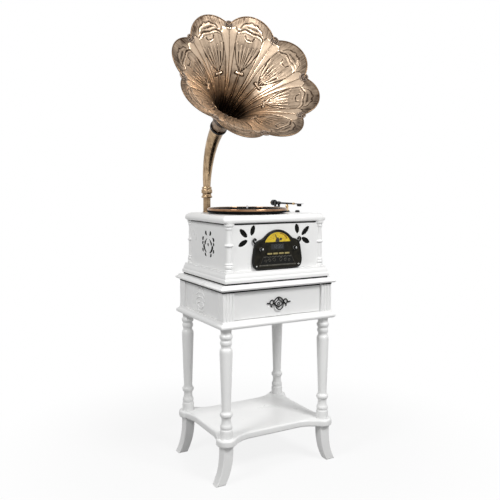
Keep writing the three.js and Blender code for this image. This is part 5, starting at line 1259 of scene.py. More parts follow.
dark_bronze = skin("dark_bronze", (0.005, 0.0045, 0.003), (0.018, 0.016, 0.01), 0.012, 0.0011,
                   0.3, 0.45, 0.0003, Metallic=0.2, Specular_IOR_Level=0.15)
panel_black = skin("panel_black", (0.002, 0.002, 0.002), (0.005, 0.005, 0.004), 0.015, 0.0009,
                   0.3, 0.42, 0.0001, Specular_IOR_Level=0.2)
nickel = skin("nickel", (0.5, 0.5, 0.49), (0.3, 0.3, 0.29), 0.006, 0.0008, 0.16, 0.26, 0.00003, Metallic=1.0)
edge_bronze = skin("edge_bronze", (0.1, 0.095, 0.08), (0.035, 0.033, 0.027), 0.01, 0.001, 0.3, 0.45, 0.0003,
                   Metallic=0.5, Specular_IOR_Level=0.3)


def inset_outline(points, inset):
    """The outline drawn inwards by the inset, for points that run anticlockwise."""
    count = len(points)
    line = []
    for k, point in enumerate(points):
        along = (points[(k + 1) % count] - points[k - 1]).normalized()
        line.append(point + Vector((-along.y, along.x)) * inset)
    return line


def stood_up(points):
    """Points on paper as points of the upright plane that faces the front."""
    return [Vector((x, 0, z)) for x, z in points]


def fascia_piece(name, shape, material, **look):
    piece(name, shape, "cabinet", "fascia_bronze", material, ["radio_fascia"], **look)


def dial_outline(shrink):
    sink = (DIAL_RADIUS**2 - DIAL_HEIGHT**2) / (2 * DIAL_HEIGHT)
    big = DIAL_HEIGHT + sink - shrink
    start = math.asin((sink + shrink) / big)
    return arc((0, DIAL_FOOT - sink), big, start, math.pi - start, 40)


right = [Vector((x * FASCIA_HALF, FASCIA_LOW + z * FASCIA_HEIGHT)) for x, z in FASCIA_SHARES]
left = [Vector((-p.x, p.y)) for p in reversed(right[:-1])]
fascia_outline = soft_line(right + left, FASCIA_SOFT, 3, closed=True)
(top_x, high), (low_x, low) = [(x * FASCIA_HALF, FASCIA_LOW + z * FASCIA_HEIGHT) for x, z in TRAY_SHARES]
tray = [(-low_x, low), (low_x, low), (top_x, high), (-top_x, high)]
windows = [dial_outline(0), rectangle(-LCD_HALF, LCD_LOW, LCD_HALF, LCD_LOW + LCD_HEIGHT), tray]
windows += [circle((sign * KNOB_X, KNOB_Z), KNOB_HOLE) for sign in (1, -1)]
button_x = [(k - 1.5) * BUTTON_PITCH for k in range(4)]
half_width, height = BUTTON_HALF + BUTTON_GAP, BUTTON_HEIGHT + 2 * BUTTON_GAP
windows += [rectangle(x - half_width, BUTTON_LOW, x + half_width, BUTTON_LOW + height) for x in button_x]
face = FASCIA_FACE + FASCIA_RELIEF
panel = facing_board([fascia_outline, *windows], face, FASCIA_BACK - face, FASCIA_EASE)
fascia_piece("radio_fascia", panel, dark_bronze, crease=45, even=True)
beads = [rod(stood_up(inset_outline(fascia_outline, BEAD_INSET)), BEAD_RADIUS, closed=True),
         rod(stood_up(inset_outline(dial_outline(0), DIAL_BEAD_INSET)), DIAL_BEAD_RADIUS, closed=True)]
fascia_piece("fascia_bead", moved(joined(beads), (0, FASCIA_FACE + BEAD_RADIUS, 0)), panel_black, crease=60)
# Painted shade: the sunk field behind the tray window is black.
fascia_piece("fascia_tray", facing_board([tray], TRAY_FACE, TRAY_THICKNESS, 0), panel_black)

step = 2 * top_x / SCALLOPS
frieze = [rod(stood_up([(sign * low_x * SILL_WIDTH, low - SILL_DROP) for sign in (-1, 1)]), SILL_BAR)]
for k in range(SCALLOPS):
    x = (k - (SCALLOPS - 1) / 2) * step
    crest = [(x + step / 2 * math.cos(a), high - SCALLOP_DROP * math.sin(a))
             for a in (math.pi * turn / 8 for turn in range(9))]
    frieze.append(rod(stood_up(crest), SCALLOP_BAR))
for sign in (1, -1):
    frieze.append(rod(stood_up([(sign * low_x, low), (sign * top_x, high)]), TRAY_BAR))
    for across, up, size in CURLS:
        spiral = [(k * CURL_STEP, size * (1 - k * CURL_SHRINK)) for k in range(16)]
        curl = [(sign * (across + r * math.cos(t)), low + up + r * math.sin(t)) for t, r in spiral]
        frieze.append(rod(stood_up(curl), CURL_BAR))
frieze = moved(joined(frieze), (0, TRAY_FACE - FRIEZE_PROUD, 0))
fascia_piece("fascia_frieze", frieze, edge_bronze, crease=60)
lugs = [soft_line(stood_up([(sign * x, z) for x, z in LUG_LINE]), 1, rounds=3) for sign in (1, -1)]
lugs = moved(joined([rod(line, LUG_BAR) for line in lugs]), (0, FASCIA_FACE + LUG_SINK, 0))
fascia_piece("fascia_lugs", lugs, panel_black, crease=60)
head = [(0, 0), (0.0034, 0), (0.0034, 0.0014), (0.0028, 0.0024), (0.002, 0.0029), (0, 0.0032)]
bolts = [moved(turned(head, 24), TO_FRONT, (sign * BOLT_X, FASCIA_FACE + BOLT_SINK, BOLT_Z))
         for sign in (1, -1)]
piece("fascia_bolts", joined(bolts), "cabinet", "silver_knob", nickel)

# Tuning dial
# A printed yellow plate in the panel's round-topped window: fine radial marks, a plain scale of numbers, a
# brown arc of painted shade along its upper right edge, and a black hub with its eye. The black needle turns
# in front of it on a thin arbor.
DIAL_FRONT = -0.1713
DIAL_BACK = -0.1633
NEEDLE_Z = 0.8438
NEEDLE_LEAN = math.radians(25)
NEEDLE_THICKNESS = 0.0008
DIAL_STRETCH = 1.42  # the scale is wider than it is high
PLATE_GAP = 0.0003
MARK_STEP = math.radians(4.6)
MARK_ENDS = (0.0232, 0.0262)
MARK_BAR = 0.00025
LONG_MARK = 0.0205
LONG_MARK_BAR = 0.0004
SCALE_RADII = (0.0266, 0.0196)
SCALE_STEP = math.radians(3.7)
SCALE_BAR = 0.0003
NUMBERS = ("88", "94", "101", "108")
NUMBER_SIZE = 0.0052
NUMBER_DEPTH = 0.00015
NUMBER_RADIUS = 0.0142
NUMBER_STEP = math.radians(38)
SHADE_ARC_RADII = (0.0298, 0.0272)
HUB_OUTLINE = [(-0.011, 0.8415), (0.008, 0.8415), (0.0065, 0.851), (0.001, 0.8585), (-0.0065, 0.8525)]
EYE_PLACE = (0.0125, 0.8505)
EYE_RADIUS = 0.0052
PRINT_THICKNESS = 0.0004
PRINT_PROUD = 0.0001
NEEDLE_AHEAD = 0.0009
NEEDLE_EASE = 0.0002
ARBOR_BACK = -0.1629

dial_yellow = skin("dial_yellow", (0.82, 0.6, 0.015), (0.62, 0.42, 0.01), 0.02, 0.0012, 0.35, 0.5, 0.00004,
                   Coat_Weight=0.4, Coat_Roughness=0.08)
dial_ink = skin("dial_ink", (0.3, 0.18, 0.01), (0.4, 0.24, 0.012), 0.01, 0.001, 0.5, 0.6, 0.00004)
# Painted shade: the brown of the arc on the dial's upper right.
dial_shade_brown = skin("dial_shade_brown", (0.3, 0.12, 0.004), (0.16, 0.06, 0.004), 0.008, 0.001, 0.4, 0.5, 0.00004)
needle_black = skin("needle_black", (0.015, 0.013, 0.012), (0.03, 0.024, 0.018), 0.01, 0.001,
                    0.3, 0.4, 0.00004)


def dial_point(turn, radius):
    return Vector((radius * DIAL_STRETCH * math.sin(turn), 0, NEEDLE_Z + radius * math.cos(turn)))


def printed_number(number):
    words = bpy.data.curves.new("number", "FONT")
    words.body = number
    words.size = NUMBER_SIZE
    words.align_x = "CENTER"
    words.extrude = NUMBER_DEPTH
    return shape_of(words)


plate = facing_board([dial_outline(PLATE_GAP)], DIAL_FRONT, DIAL_BACK - DIAL_FRONT, 0)
piece("dial_plate", plate, "cabinet", "dial_yellow", dial_yellow, ["dial_plate"])
marks = []
for k in range(-16, 17):
    inner_end, radius = (MARK_ENDS[0], MARK_BAR) if k % 4 else (LONG_MARK, LONG_MARK_BAR)
    marks.append(rod([dial_point(k * MARK_STEP, reach) for reach in (inner_end, MARK_ENDS[1])], radius))
for radius in SCALE_RADII:
    marks.append(rod([dial_point(k * SCALE_STEP, radius) for k in range(-20, 21)], SCALE_BAR))
for k, number in enumerate(NUMBERS):
    turn = (k - (len(NUMBERS) - 1) / 2) * NUMBER_STEP
    upright_turn = Matrix.Rotation(-turn * 0.6, 4, "Z")
    marks.append(moved(printed_number(number), upright_turn, UPRIGHT, dial_point(turn, NUMBER_RADIUS)))
piece("dial_marks", moved(joined(marks), (0, DIAL_FRONT, 0)), "cabinet", "black_plastic", dial_ink)
# Painted shade: a brown arc along the plate's upper right edge, under the bead.
band = [dial_point(math.radians(a), SHADE_ARC_RADII[0]) for a in range(12, 80, 4)]
band += [dial_point(math.radians(a), SHADE_ARC_RADII[1]) for a in range(76, 8, -4)]
band = moved(cut_board([[(p.x, p.z) for p in band]], PRINT_THICKNESS, 0), UPRIGHT, (0, DIAL_FRONT, 0))
piece("dial_shade_arc", band, "cabinet", "dial_yellow", dial_shade_brown)
prints = [soft_line(HUB_OUTLINE, 0.002, closed=True), arc(EYE_PLACE, EYE_RADIUS, 0, 1.95 * math.pi, 24)]
prints = joined([cut_board([outline], PRINT_THICKNESS, 0) for outline in prints])
prints = moved(prints, UPRIGHT, (0, DIAL_FRONT - PRINT_PROUD, 0))
piece("dial_hub", prints, "cabinet", "black_plastic", needle_black)

blade = [(-0.0017, -0.003), (0.0017, -0.003), (0.0009, 0.0262), (-0.0009, 0.0262)]
blade = moved(cut_board([blade], NEEDLE_THICKNESS, NEEDLE_EASE), UPRIGHT,
              Matrix.Rotation(-NEEDLE_LEAN, 4, "Y"), (0, DIAL_FRONT - NEEDLE_AHEAD, 0))
hub = [(0, 0), (0.001, 0), (0.001, 0.0083), (0.0025, 0.0083), (0.0025, 0.0089), (0.0015, 0.0094), (0, 0.0094)]
hub = moved(turned(soft_line(hub, NEEDLE_EASE), 24), TO_FRONT, (0, ARBOR_BACK, 0))
piece("dial_needle", moved(joined([blade, hub]), (0, 0, NEEDLE_Z)), "needle", "black_metal", needle_black,
      ["dial_needle"])

# Display
# Smoked glass over a plain seven-segment clock, with pale grey digits just under its face.
GLASS_FRONT = -0.1713
GLASS_BACK = -0.1633
GLASS_GAP = 0.0003
GLASS_EASE = 0.0006
DIGIT_HEIGHT = 0.0105
DIGIT_WIDTH = 0.006
DIGIT_PITCH = 0.0098
COLON_GAP = 0.0014
SEGMENT_HALF = 0.0006
SEGMENT_DEPTH = 0.0003
DOT_RADIUS = 0.0007
DOT_SHARES = (0.3, 0.7)
DIGIT_PROUD = 0.0001
SHOWN = "1230"
SEGMENTS = {"0": "abcdef", "1": "bc", "2": "abged", "3": "abgcd"}

smoked_glass = skin("smoked_glass", (0.004, 0.005, 0.006), (0.008, 0.009, 0.01), 0.02, 0.001,
                    0.05, 0.1, 0.00001, Coat_Weight=0.35, Coat_Roughness=0.04, Specular_IOR_Level=0.25)
digit_grey = skin("digit_grey", (0.07, 0.078, 0.082), (0.11, 0.12, 0.124), 0.01, 0.001, 0.4, 0.5, 0.00002)

glass = eased_block((-LCD_HALF + GLASS_GAP, GLASS_FRONT, LCD_LOW + GLASS_GAP),
                    (LCD_HALF - GLASS_GAP, GLASS_BACK, LCD_LOW + LCD_HEIGHT - GLASS_GAP), GLASS_EASE)
piece("lcd_window", glass, "cabinet", "lcd_glass", smoked_glass, ["lcd_window"], even=True)


def segment(start, end):
    """One bar of a digit: a flat hexagon between two points."""
    start, end = Vector(start), Vector(end)
    along = (end - start).normalized()
    side = Vector((-along.y, along.x)) * SEGMENT_HALF
    slant = along * SEGMENT_HALF
    a, b = start + slant / 2, end - slant / 2
    return cut_board([[a, a + slant - side, b - slant - side, b, b - slant + side, a + slant + side]],
                     SEGMENT_DEPTH, 0)


digits = []
low = LCD_LOW + (LCD_HEIGHT - DIGIT_HEIGHT) / 2
mid, high = low + DIGIT_HEIGHT / 2, low + DIGIT_HEIGHT
for k, number in enumerate(SHOWN):
    middle = (k - 1.5) * DIGIT_PITCH + (COLON_GAP if k > 1 else -COLON_GAP)
    left, right = middle - DIGIT_WIDTH / 2, middle + DIGIT_WIDTH / 2
    bars = {"a": ((left, high), (right, high)), "b": ((right, high), (right, mid)),
            "c": ((right, mid), (right, low)), "d": ((left, low), (right, low)),
            "e": ((left, mid), (left, low)), "f": ((left, high), (left, mid)),
            "g": ((left, mid), (right, mid))}
    digits += [segment(*bars[key]) for key in SEGMENTS[number]]
for share in DOT_SHARES:
    dot = arc((0, LCD_LOW + LCD_HEIGHT * share), DOT_RADIUS, 0, 1.9 * math.pi, 10)
    digits.append(cut_board([dot], SEGMENT_DEPTH, 0))
digits = moved(joined(digits), UPRIGHT, (0, GLASS_FRONT - DIGIT_PROUD, 0))
piece("lcd_digits", digits, "cabinet", "silver_knob", digit_grey)

# Knobs and buttons
# Volume at the left and tuning at the right: black barrels with a bright foot ring and a bright cap. Under
# the display stand four satin gold push buttons.
BUTTON_FRONT = -0.1768
BUTTON_BACK = -0.1648
BUTTON_EASE = 0.0009

satin_gold = skin("satin_gold", (0.42, 0.35, 0.16), (0.28, 0.23, 0.1), 0.008, 0.0008, 0.25, 0.4, 0.00004,
                  Metallic=1.0)

for name, sign in (("volume_knob", -1), ("tuning_knob", 1)):
    at = (sign * KNOB_X, 0, KNOB_Z)
    barrel = [(0, 0.1636), (0.003, 0.1636), (0.003, 0.1748), (0.0062, 0.1748), (0.0066, 0.1768),
              (0.0062, 0.185), (0.0056, 0.186), (0, 0.186)]
    piece(name, moved(turned(barrel, 48), TO_FRONT, at), name, "black_plastic", black_plastic, [name])
    foot_ring = [(0.0055, 0.1746), (0.007, 0.1746), (0.007, 0.1758), (0.0064, 0.1764), (0.0055, 0.1764)]
    cap = [(0, 0.1855), (0.0032, 0.1855), (0.0032, 0.1866), (0.0022, 0.1874), (0, 0.1876)]
    bright = joined([turned(foot_ring, 48, closed=True), turned(cap, 48)])
    piece(name + "_trim", moved(bright, TO_FRONT, at), name, "silver_knob", nickel, [name])
for k, x in enumerate(button_x):
    button = eased_block((x - BUTTON_HALF, BUTTON_FRONT, BUTTON_LOW + BUTTON_GAP),
                         (x + BUTTON_HALF, BUTTON_BACK, BUTTON_LOW + BUTTON_GAP + BUTTON_HEIGHT), BUTTON_EASE)
    name = f"button_{k + 1}"
    piece(name, button, name, "gold_button", satin_gold, [name], even=True)

# Horn pipe
# A brass tube with an antique finish stands in the deck and carries a turned collar with a bead at each end
# and a wider one in the middle.
PIPE_AT = Vector((-0.133, 0.135, 0))
PIPE_RADIUS = 0.01425
COLLAR_LOW = 0.992
COLLAR_TOP = 1.035
COLLAR_RADIUS = 0.021


def build_bronze_group():
    """Antique brass: a bright metal rubbed through a brown patina, which stays in the hollows and streaks.
    The share of brown that is given can also carry painted shade.
    """
    inputs = {"Bright": "Color", "Brown": "Color", "Age": "Float", "Streaks": "Vector", "Spread": "Float",
              "Gloss": "Float", "Dull": "Float"}
    group, given, out = surface_group("antique_brass", inputs)
    place = add_node(group, "TexCoord").outputs["Object"]
    clouds = noise(group, place, 28.0, 4.0, Roughness=0.6)
    streak = noise(group, given["Streaks"], 1.0, 3.0, Roughness=0.65)
    both = add_node(group, "Math", {0: clouds, 1: streak}, operation="ADD").outputs[0]
    drift = between(group, both, 0.75, 1.25, **{"To Min": -1.0, "To Max": 1.0})
    drift = add_node(group, "Math", {0: drift, 1: given["Spread"]}, operation="MULTIPLY").outputs[0]
    patina_and_shade_share = add_node(group, "Math", {0: given["Age"], 1: drift}, operation="ADD", use_clamp=True).outputs[0]
    group.links.new(mixed_colour(group, patina_and_shade_share, given["Bright"], given["Brown"]), out["Color"])
    group.links.new(mixed_value(group, patina_and_shade_share, given["Gloss"], given["Dull"]), out["Roughness"])
    group.links.new(bumps(group, streak, 0.00015, 0.35), out["Normal"])
    return group


bronze_group = build_bronze_group()


def antique_brass(name, bright, brown, patina_and_shade, scale, source="Object", gloss=0.2, dull=0.36, spread=0.22):
    """The horn's finish: streaks stretched by the scale, and a share of brown for its patina and, on the
    petals, its painted shade, as a number or an attribute's name.
    """
    values = {"Bright": (*bright, 1), "Brown": (*brown, 1), "Spread": spread, "Gloss": gloss, "Dull": dull}
    made = finish(name, bronze_group, values, {"Metallic": 1.0})
    tree = made.node_tree
    effect = next(node for node in tree.nodes if node.type == "GROUP")
    place = add_node(tree, "TexCoord").outputs[source]
    stretched = add_node(tree, "Mapping", {"Vector": place, "Scale": scale}).outputs[0]
    tree.links.new(stretched, effect.inputs["Streaks"])
    if isinstance(patina_and_shade, str):
        tree.links.new(add_node(tree, "Attribute", attribute_name=patina_and_shade).outputs["Fac"], effect.inputs["Age"])
    else:
        effect.inputs["Age"].default_value = patina_and_shade
    return made


pipe_brass = antique_brass("pipe_brass", (0.58, 0.42, 0.26), (0.12, 0.07, 0.035), 0.4, (140, 140, 4),
                           spread=0.4)

bead = (COLLAR_TOP - COLLAR_LOW) / 5
waist = (COLLAR_RADIUS + PIPE_RADIUS) / 2
collar = [(waist, 0), (COLLAR_RADIUS, 0.2), (COLLAR_RADIUS, 0.8), (waist, 1), (waist - 0.001, 2),
          (COLLAR_RADIUS, 2.2), (COLLAR_RADIUS, 3.7), (waist, 4)]
collar = [(radius, COLLAR_LOW + up * bead) for radius, up in collar]
collar += [(waist + 0.0016, COLLAR_TOP - 0.003), (waist + 0.0003, COLLAR_TOP)]
flange = [(PIPE_RADIUS, 0.9373), (0.0164, 0.9373), (0.0164, 0.9392), (0.0155, 0.9402), (PIPE_RADIUS, 0.9407)]
pipe = [(0.01275, 0.915), (PIPE_RADIUS, 0.915), *soft_line(flange, 0.0004), (PIPE_RADIUS, COLLAR_LOW),
        *soft_line(collar, 0.0015), (0.01455, COLLAR_TOP), (0.01455, 1.005), (0.01275, 1.005)]
pipe = moved(turned(pipe, closed=True), PIPE_AT)
piece("horn_pipe", pipe, "cabinet", "horn_brass", pipe_brass, ["horn_pipe"])

# Horn elbow
# A tapered brass tube bent through sixty degrees. It stands in the collar, in which it turns, and widens up
# to the joint ring.
ELBOW_FOOT = 1.0053
ELBOW_RADIUS = 0.251
ELBOW_BEND = math.radians(60)
NECK_RADIUS = 0.028
ELBOW_STEPS = 40
ELBOW_WALL = 0.0012
HORN = Matrix.Translation(PIPE_AT) @ Matrix.Rotation(math.radians(-5.1), 4, "Z")


def elbow_frame(share):
    turn = share * ELBOW_BEND
    reach = ELBOW_RADIUS * (1 - math.cos(turn))
    centre = (0, -reach, COLLAR_TOP + ELBOW_RADIUS * math.sin(turn))
    return Matrix.Translation(centre) @ Matrix.Rotation(turn, 4, "X")


def thicken(made, thickness):
    """Gives a piece that is one skin a wall on its inner side."""
    wall = made.modifiers.new("wall", "SOLIDIFY")
    wall.thickness = thickness
    wall.offset = -1


elbow = bmesh.new()
start = Matrix.Translation((0, 0, ELBOW_FOOT))
bmesh.ops.create_circle(elbow, segments=LATHE_STEPS, radius=PIPE_RADIUS, matrix=start)
edges = list(elbow.edges)
shares = [k / ELBOW_STEPS for k in range(ELBOW_STEPS + 1)]
frames = [start] + [elbow_frame(share) for share in shares]
radii = [PIPE_RADIUS] + [PIPE_RADIUS + (NECK_RADIUS - PIPE_RADIUS) * share for share in shares]
for k in range(1, len(frames)):
    verts, edges = next_ring(elbow, edges)
    growth = Matrix.Scale(radii[k] / radii[k - 1], 4)
    bmesh.ops.transform(elbow, matrix=frames[k] @ growth @ frames[k - 1].inverted(), verts=verts)
bmesh.ops.recalc_face_normals(elbow, faces=elbow.faces)
elbow = piece("horn_elbow", moved(elbow, HORN), "horn", "horn_brass", pipe_brass, ["horn_elbow"])
thicken(elbow, ELBOW_WALL)

# Joint ring
# A black enamelled clamp ring over the joint of the elbow and the bell.
MOUTH = HORN @ elbow_frame(1)
ring = [(0.0284, -0.0045), (0.031, -0.0045), (0.032, -0.0032), (0.032, 0.0032), (0.031, 0.0045),
        (0.0284, 0.0045)]
ring = moved(turned_ring(ring, 0.0008), MOUTH)
piece("joint_ring", ring, "horn", "black_metal", black_enamel, ["joint_ring"])

# Horn neck
# The narrow end of the bell, where its eight petals are brazed into one eight-sided ferrule.
RING_SEAT = 0.0048
FERRULE_LENGTH = 0.045
FERRULE_RADIUS = 0.033
PETAL_COUNT = 8
BELL_ROLL = math.radians(4.3)
NOTCH = math.pi / PETAL_COUNT  # half of the angle that a petal takes

neck_brass = antique_brass("neck_brass", (0.32, 0.23, 0.16), (0.08, 0.05, 0.03), 0.4, (160, 160, 160),
                           gloss=0.35, dull=0.5, spread=0.5)


def bell_turn(half_petals):
    return Matrix.Rotation(BELL_ROLL + half_petals * NOTCH, 4, "Z")


def bell_piece(name, shape, material, crease=40):
    return piece(name, shape, "horn", "horn_brass", material, ["horn_bell"], crease)


neck = [(NECK_RADIUS, RING_SEAT), (NECK_RADIUS + 0.0006, RING_SEAT + 0.003), (FERRULE_RADIUS + 0.0012, 0.043),
        (FERRULE_RADIUS + 0.001, 0.047), (FERRULE_RADIUS - 0.0006, 0.047), (NECK_RADIUS - 0.001, RING_SEAT)]
neck = moved(turned(neck, PETAL_COUNT, closed=True), bell_turn(1), MOUTH)
bmesh.ops.bevel(neck, geom=list(neck.edges), offset=0.0006, affect="EDGES", segments=2, profile=0.5,
                material=-1)
bell_piece("horn_neck", neck, neck_brass, crease=25)

# Horn petals
# Eight identical petals of thin sheet, pressed over a form and brazed edge to edge. Each is embossed with a
# stem and a knot, fan creases, a bow and a cloud under its round end, and a tulip line runs along its seams.
BELL_LENGTH = 0.292
BELL_RADIUS = 0.2195
LOBE_DISTANCE = 0.1546
LOBE_RADIUS = 0.1019
LOBE_POWER = 1.6
LOBE_TIP = LOBE_DISTANCE + LOBE_RADIUS
PETAL_ADVANCE = 0.0186
PETAL_WALL = 0.0006
SLOPE_STEP = 1e-3  # how far apart a petal's slope is measured, in shares
ACROSS = 120
ALONG = 190
TULIP = {  # distance of the tulip line from the seam, by the share of the petal's length
    0.0: 0.003, 0.15: 0.003, 0.35: 0.005, 0.5: 0.008, 0.68: 0.013, 0.8: 0.02, 0.885: 0.03, 0.91: 0.034,
    0.948: 0.028, 0.962: 0.016, 0.975: 0.006, 1.0: 0.002,
}
TULIP_HEIGHT = 0.0022
TULIP_LINE = (0.0012, 0.0013)  # depth and half width
RELIEF = 0.7
FLANK = 0.4  # depth of the hollow beside a stroke, against the stroke's height
FLANK_REACH = 2.3
SAMPLES = np.linspace(0, 1, 401)
PETAL_STEM = [  # points (share of the half angle, share of the length), half width, height
    ([(0, 0.05), (0, 0.3), (0, 0.55)], 0.0014, 0.0026),
    ([(0, 0.56), (0, 0.65), (0, 0.73)], 0.0011, 0.0015),
    ([(0, 0.73), (0.01, 0.78), (0, 0.83)], 0.0009, 0.0006),
    ([(-0.3, 0.562), (-0.12, 0.553), (0, 0.557), (0.12, 0.553), (0.3, 0.562)], 0.0022, 0.0032),
]
PETAL_FAN = [  # one of each pair
    ([(0.05, 0.57), (0.14, 0.65), (0.2, 0.76)], 0.0013, -0.0013),
    ([(0.1, 0.58), (0.3, 0.66), (0.42, 0.75)], 0.0016, -0.0016),
    ([(0.16, 0.585), (0.46, 0.66), (0.65, 0.77), (0.68, 0.83)], 0.0017, -0.0017),
    ([(0.1, 0.62), (0.11, 0.7), (0.1, 0.79)], 0.0015, 0.0009),
    ([(0.24, 0.63), (0.3, 0.71), (0.32, 0.8)], 0.0018, 0.0011),
    ([(0.42, 0.65), (0.52, 0.72), (0.55, 0.82)], 0.0019, 0.0011),
]
PETAL_CLOUD = [
    ([(-0.2, 0.872), (-0.17, 0.85), (-0.05, 0.842), (0.02, 0.846), (0.1, 0.842), (0.2, 0.855), (0.22, 0.872)],
     0.0017, -0.002),
    ([(-0.21, 0.862), (-0.05, 0.833), (0.12, 0.833), (0.22, 0.862)], 0.0014, 0.0012),
    ([(-0.6, 0.902), (-0.45, 0.912), (-0.28, 0.908), (-0.1, 0.897), (0.12, 0.905), (0.3, 0.917),
      (0.46, 0.905), (0.56, 0.91)], 0.0021, -0.0026),
    ([(-0.56, 0.893), (-0.4, 0.9), (-0.1, 0.886), (0.15, 0.894), (0.45, 0.896)], 0.0018, 0.001),
    ([(-0.5, 0.925), (-0.42, 0.949), (-0.28, 0.944), (-0.18, 0.963), (-0.03, 0.953), (0.06, 0.967),
      (0.2, 0.953), (0.33, 0.957), (0.44, 0.938), (0.5, 0.924)], 0.0019, -0.001),
    ([(-0.4, 0.932), (-0.2, 0.943), (0, 0.938), (0.2, 0.943), (0.4, 0.93)], 0.003, 0.0008),
]


def bell_growth(v):
    return 0.3 * v + 0.7 * v**2.5


def lobe_edge(angle):
    """How far the round end of a petal lies from the bell's axis, at an angle from its middle."""
    return LOBE_DISTANCE * np.cos(angle) + np.sqrt(LOBE_RADIUS**2 - (LOBE_DISTANCE * np.sin(angle)) ** 2)


def bell_point(w, v):
    """Where a petal's point lies about the bell's axis: w is a share of its half angle, v of its length."""
    angle = w * NOTCH
    lobe = (lobe_edge(angle) - lobe_edge(NOTCH)) / (LOBE_TIP - lobe_edge(NOTCH))
    radius = FERRULE_RADIUS + (BELL_RADIUS - FERRULE_RADIUS) * bell_growth(v)
    radius = radius * (1 + (LOBE_TIP / BELL_RADIUS - 1) * lobe * v**LOBE_POWER)
    height = FERRULE_LENGTH + (BELL_LENGTH - FERRULE_LENGTH) * v + PETAL_ADVANCE * lobe * v
    return np.stack([radius * np.cos(angle), radius * np.sin(angle), height], -1)


spine = bell_point(0 * SAMPLES, SAMPLES)
spine_length = np.concatenate([[0], np.cumsum(np.linalg.norm(np.diff(spine, axis=0), axis=1))])


def across_petal(w, v):
    return w * NOTCH * np.interp(v, SAMPLES, spine[:, 0])


def flattened(w, v):
    """The petal laid flat: across and along it, in metres."""
    return np.stack([across_petal(w, v), np.interp(v, SAMPLES, spine_length)], -1)


def distance_to(points, line):
    """Shortest distance from each point to a line of points."""
    best = np.full(len(points), np.inf)
    for start, end in zip(line, line[1:]):
        side = end - start
        share = np.clip(((points - start) @ side) / max(side @ side, 1e-12), 0, 1)
        best = np.minimum(best, np.linalg.norm(points - start - share[:, None] * side, axis=1))
    return best


def bell_curve(distance, width):
    """1 at no distance, falling off smoothly over the width."""
    return np.exp(-((distance / width) ** 2))


def petal_relief(w, v):
    """Height of the embossing over the whole petal."""
    points = flattened(w, v)
    relief = np.zeros(len(w))
    fan = [([(sign * x, y) for x, y in line], width, height)
           for line, width, height in PETAL_FAN for sign in (-1, 1)]
    for line, width, height in PETAL_STEM + fan + PETAL_CLOUD:
        soft = np.array([tuple(p) for p in soft_line(line, 1, rounds=3)])
        gap = distance_to(points, flattened(soft[:, 0], soft[:, 1])) / width
        relief += RELIEF * height * (bell_curve(gap, 1) - FLANK * bell_curve(gap - FLANK_REACH, 1))
    seam = across_petal(1 - np.abs(w), v)
    edge = np.interp(v, list(TULIP), list(TULIP.values()))
    band = np.clip(1 - seam / edge, 0, 1)
    relief += TULIP_HEIGHT * np.sqrt(np.clip(4 * band * (1 - band), 0, 1)) * np.clip(edge / 0.008, 0.2, 1)
    relief -= TULIP_LINE[0] * bell_curve(seam - edge, TULIP_LINE[1])
    return relief * np.clip(seam / 0.0015, 0, 1)


def petal_patina_and_shade(w, v, relief):
    """How dark the brass is: painted shade deepening into the throat, patina in the hollows and the edge
    band, and raised lines rubbed bright.
    """
    # Painted shade: the throat and the inner part of the petal are darkened, where the bell shades itself.
    throat_shade = np.clip((0.42 - v) / 0.42, 0, 1) ** 1.2
    inner = np.clip((0.62 - v) / 0.2, 0, 1)
    band = np.clip((v - 0.935) / 0.03, 0, 1)
    cloud = bell_curve(v - 0.928, 0.014) * np.clip(1.3 - np.abs(w) / 0.4, 0, 1)
    hollow = np.clip(-relief / 0.0007, 0, 1)
    raised = np.clip(relief / 0.0016, 0, 1)
    patina_and_shade = 0.34 + 0.5 * throat_shade + 0.22 * inner + 0.42 * band + 0.35 * cloud + 0.9 * hollow - 0.42 * raised
    return np.clip(patina_and_shade, 0, 1)


# The petals' brown follows their attribute: patina, and painted shade towards the throat.
petal_brass = antique_brass("petal_brass", (0.6, 0.46, 0.335), (0.035, 0.021, 0.013), "patina_and_shade", (150, 6, 1),
                            "UV", gloss=0.28, dull=0.42, spread=0.3)


def make_petal(k):
    shape = bmesh.new()
    bmesh.ops.create_grid(shape, x_segments=ACROSS, y_segments=ALONG, size=1)
    mesh = bpy.data.meshes.new("petal")
    shape.to_mesh(mesh)
    flat = np.zeros(len(mesh.vertices) * 3)
    mesh.vertices.foreach_get("co", flat)
    w, v = flat[0::3], (flat[1::3] + 1) / 2
    relief = petal_relief(w, v)
    along = bell_point(w, v + SLOPE_STEP) - bell_point(w, np.maximum(v - SLOPE_STEP, 1e-4))
    across = bell_point(w + SLOPE_STEP, v) - bell_point(w - SLOPE_STEP, v)
    normal = np.cross(across, along)
    normal /= np.linalg.norm(normal, axis=1)[:, None]
    outwards = np.sign(np.mean(np.sum(normal[:, :2] * bell_point(w, v)[:, :2], axis=1)))
    place = bell_point(w, v) - outwards * normal * relief[:, None]
    mesh.vertices.foreach_set("co", place.ravel())
    mesh.attributes.new("patina_and_shade", "FLOAT", "POINT").data.foreach_set("value", petal_patina_and_shade(w, v, relief))
    corners = np.zeros(len(mesh.loops), int)
    mesh.loops.foreach_get("vertex_index", corners)
    mesh.uv_layers.new(name="petal").data.foreach_set("uv", flattened(w, v)[corners].ravel())
    shape.clear()
    shape.from_mesh(mesh)
    bpy.data.meshes.remove(mesh)
    if outwards > 0:
        bmesh.ops.reverse_faces(shape, faces=shape.faces)
    moved(shape, bell_turn(2 * k + 1), MOUTH)
    thicken(bell_piece(f"petal_{k + 1}", shape, petal_brass, crease=80), PETAL_WALL)


for k in range(PETAL_COUNT):
    make_petal(k)

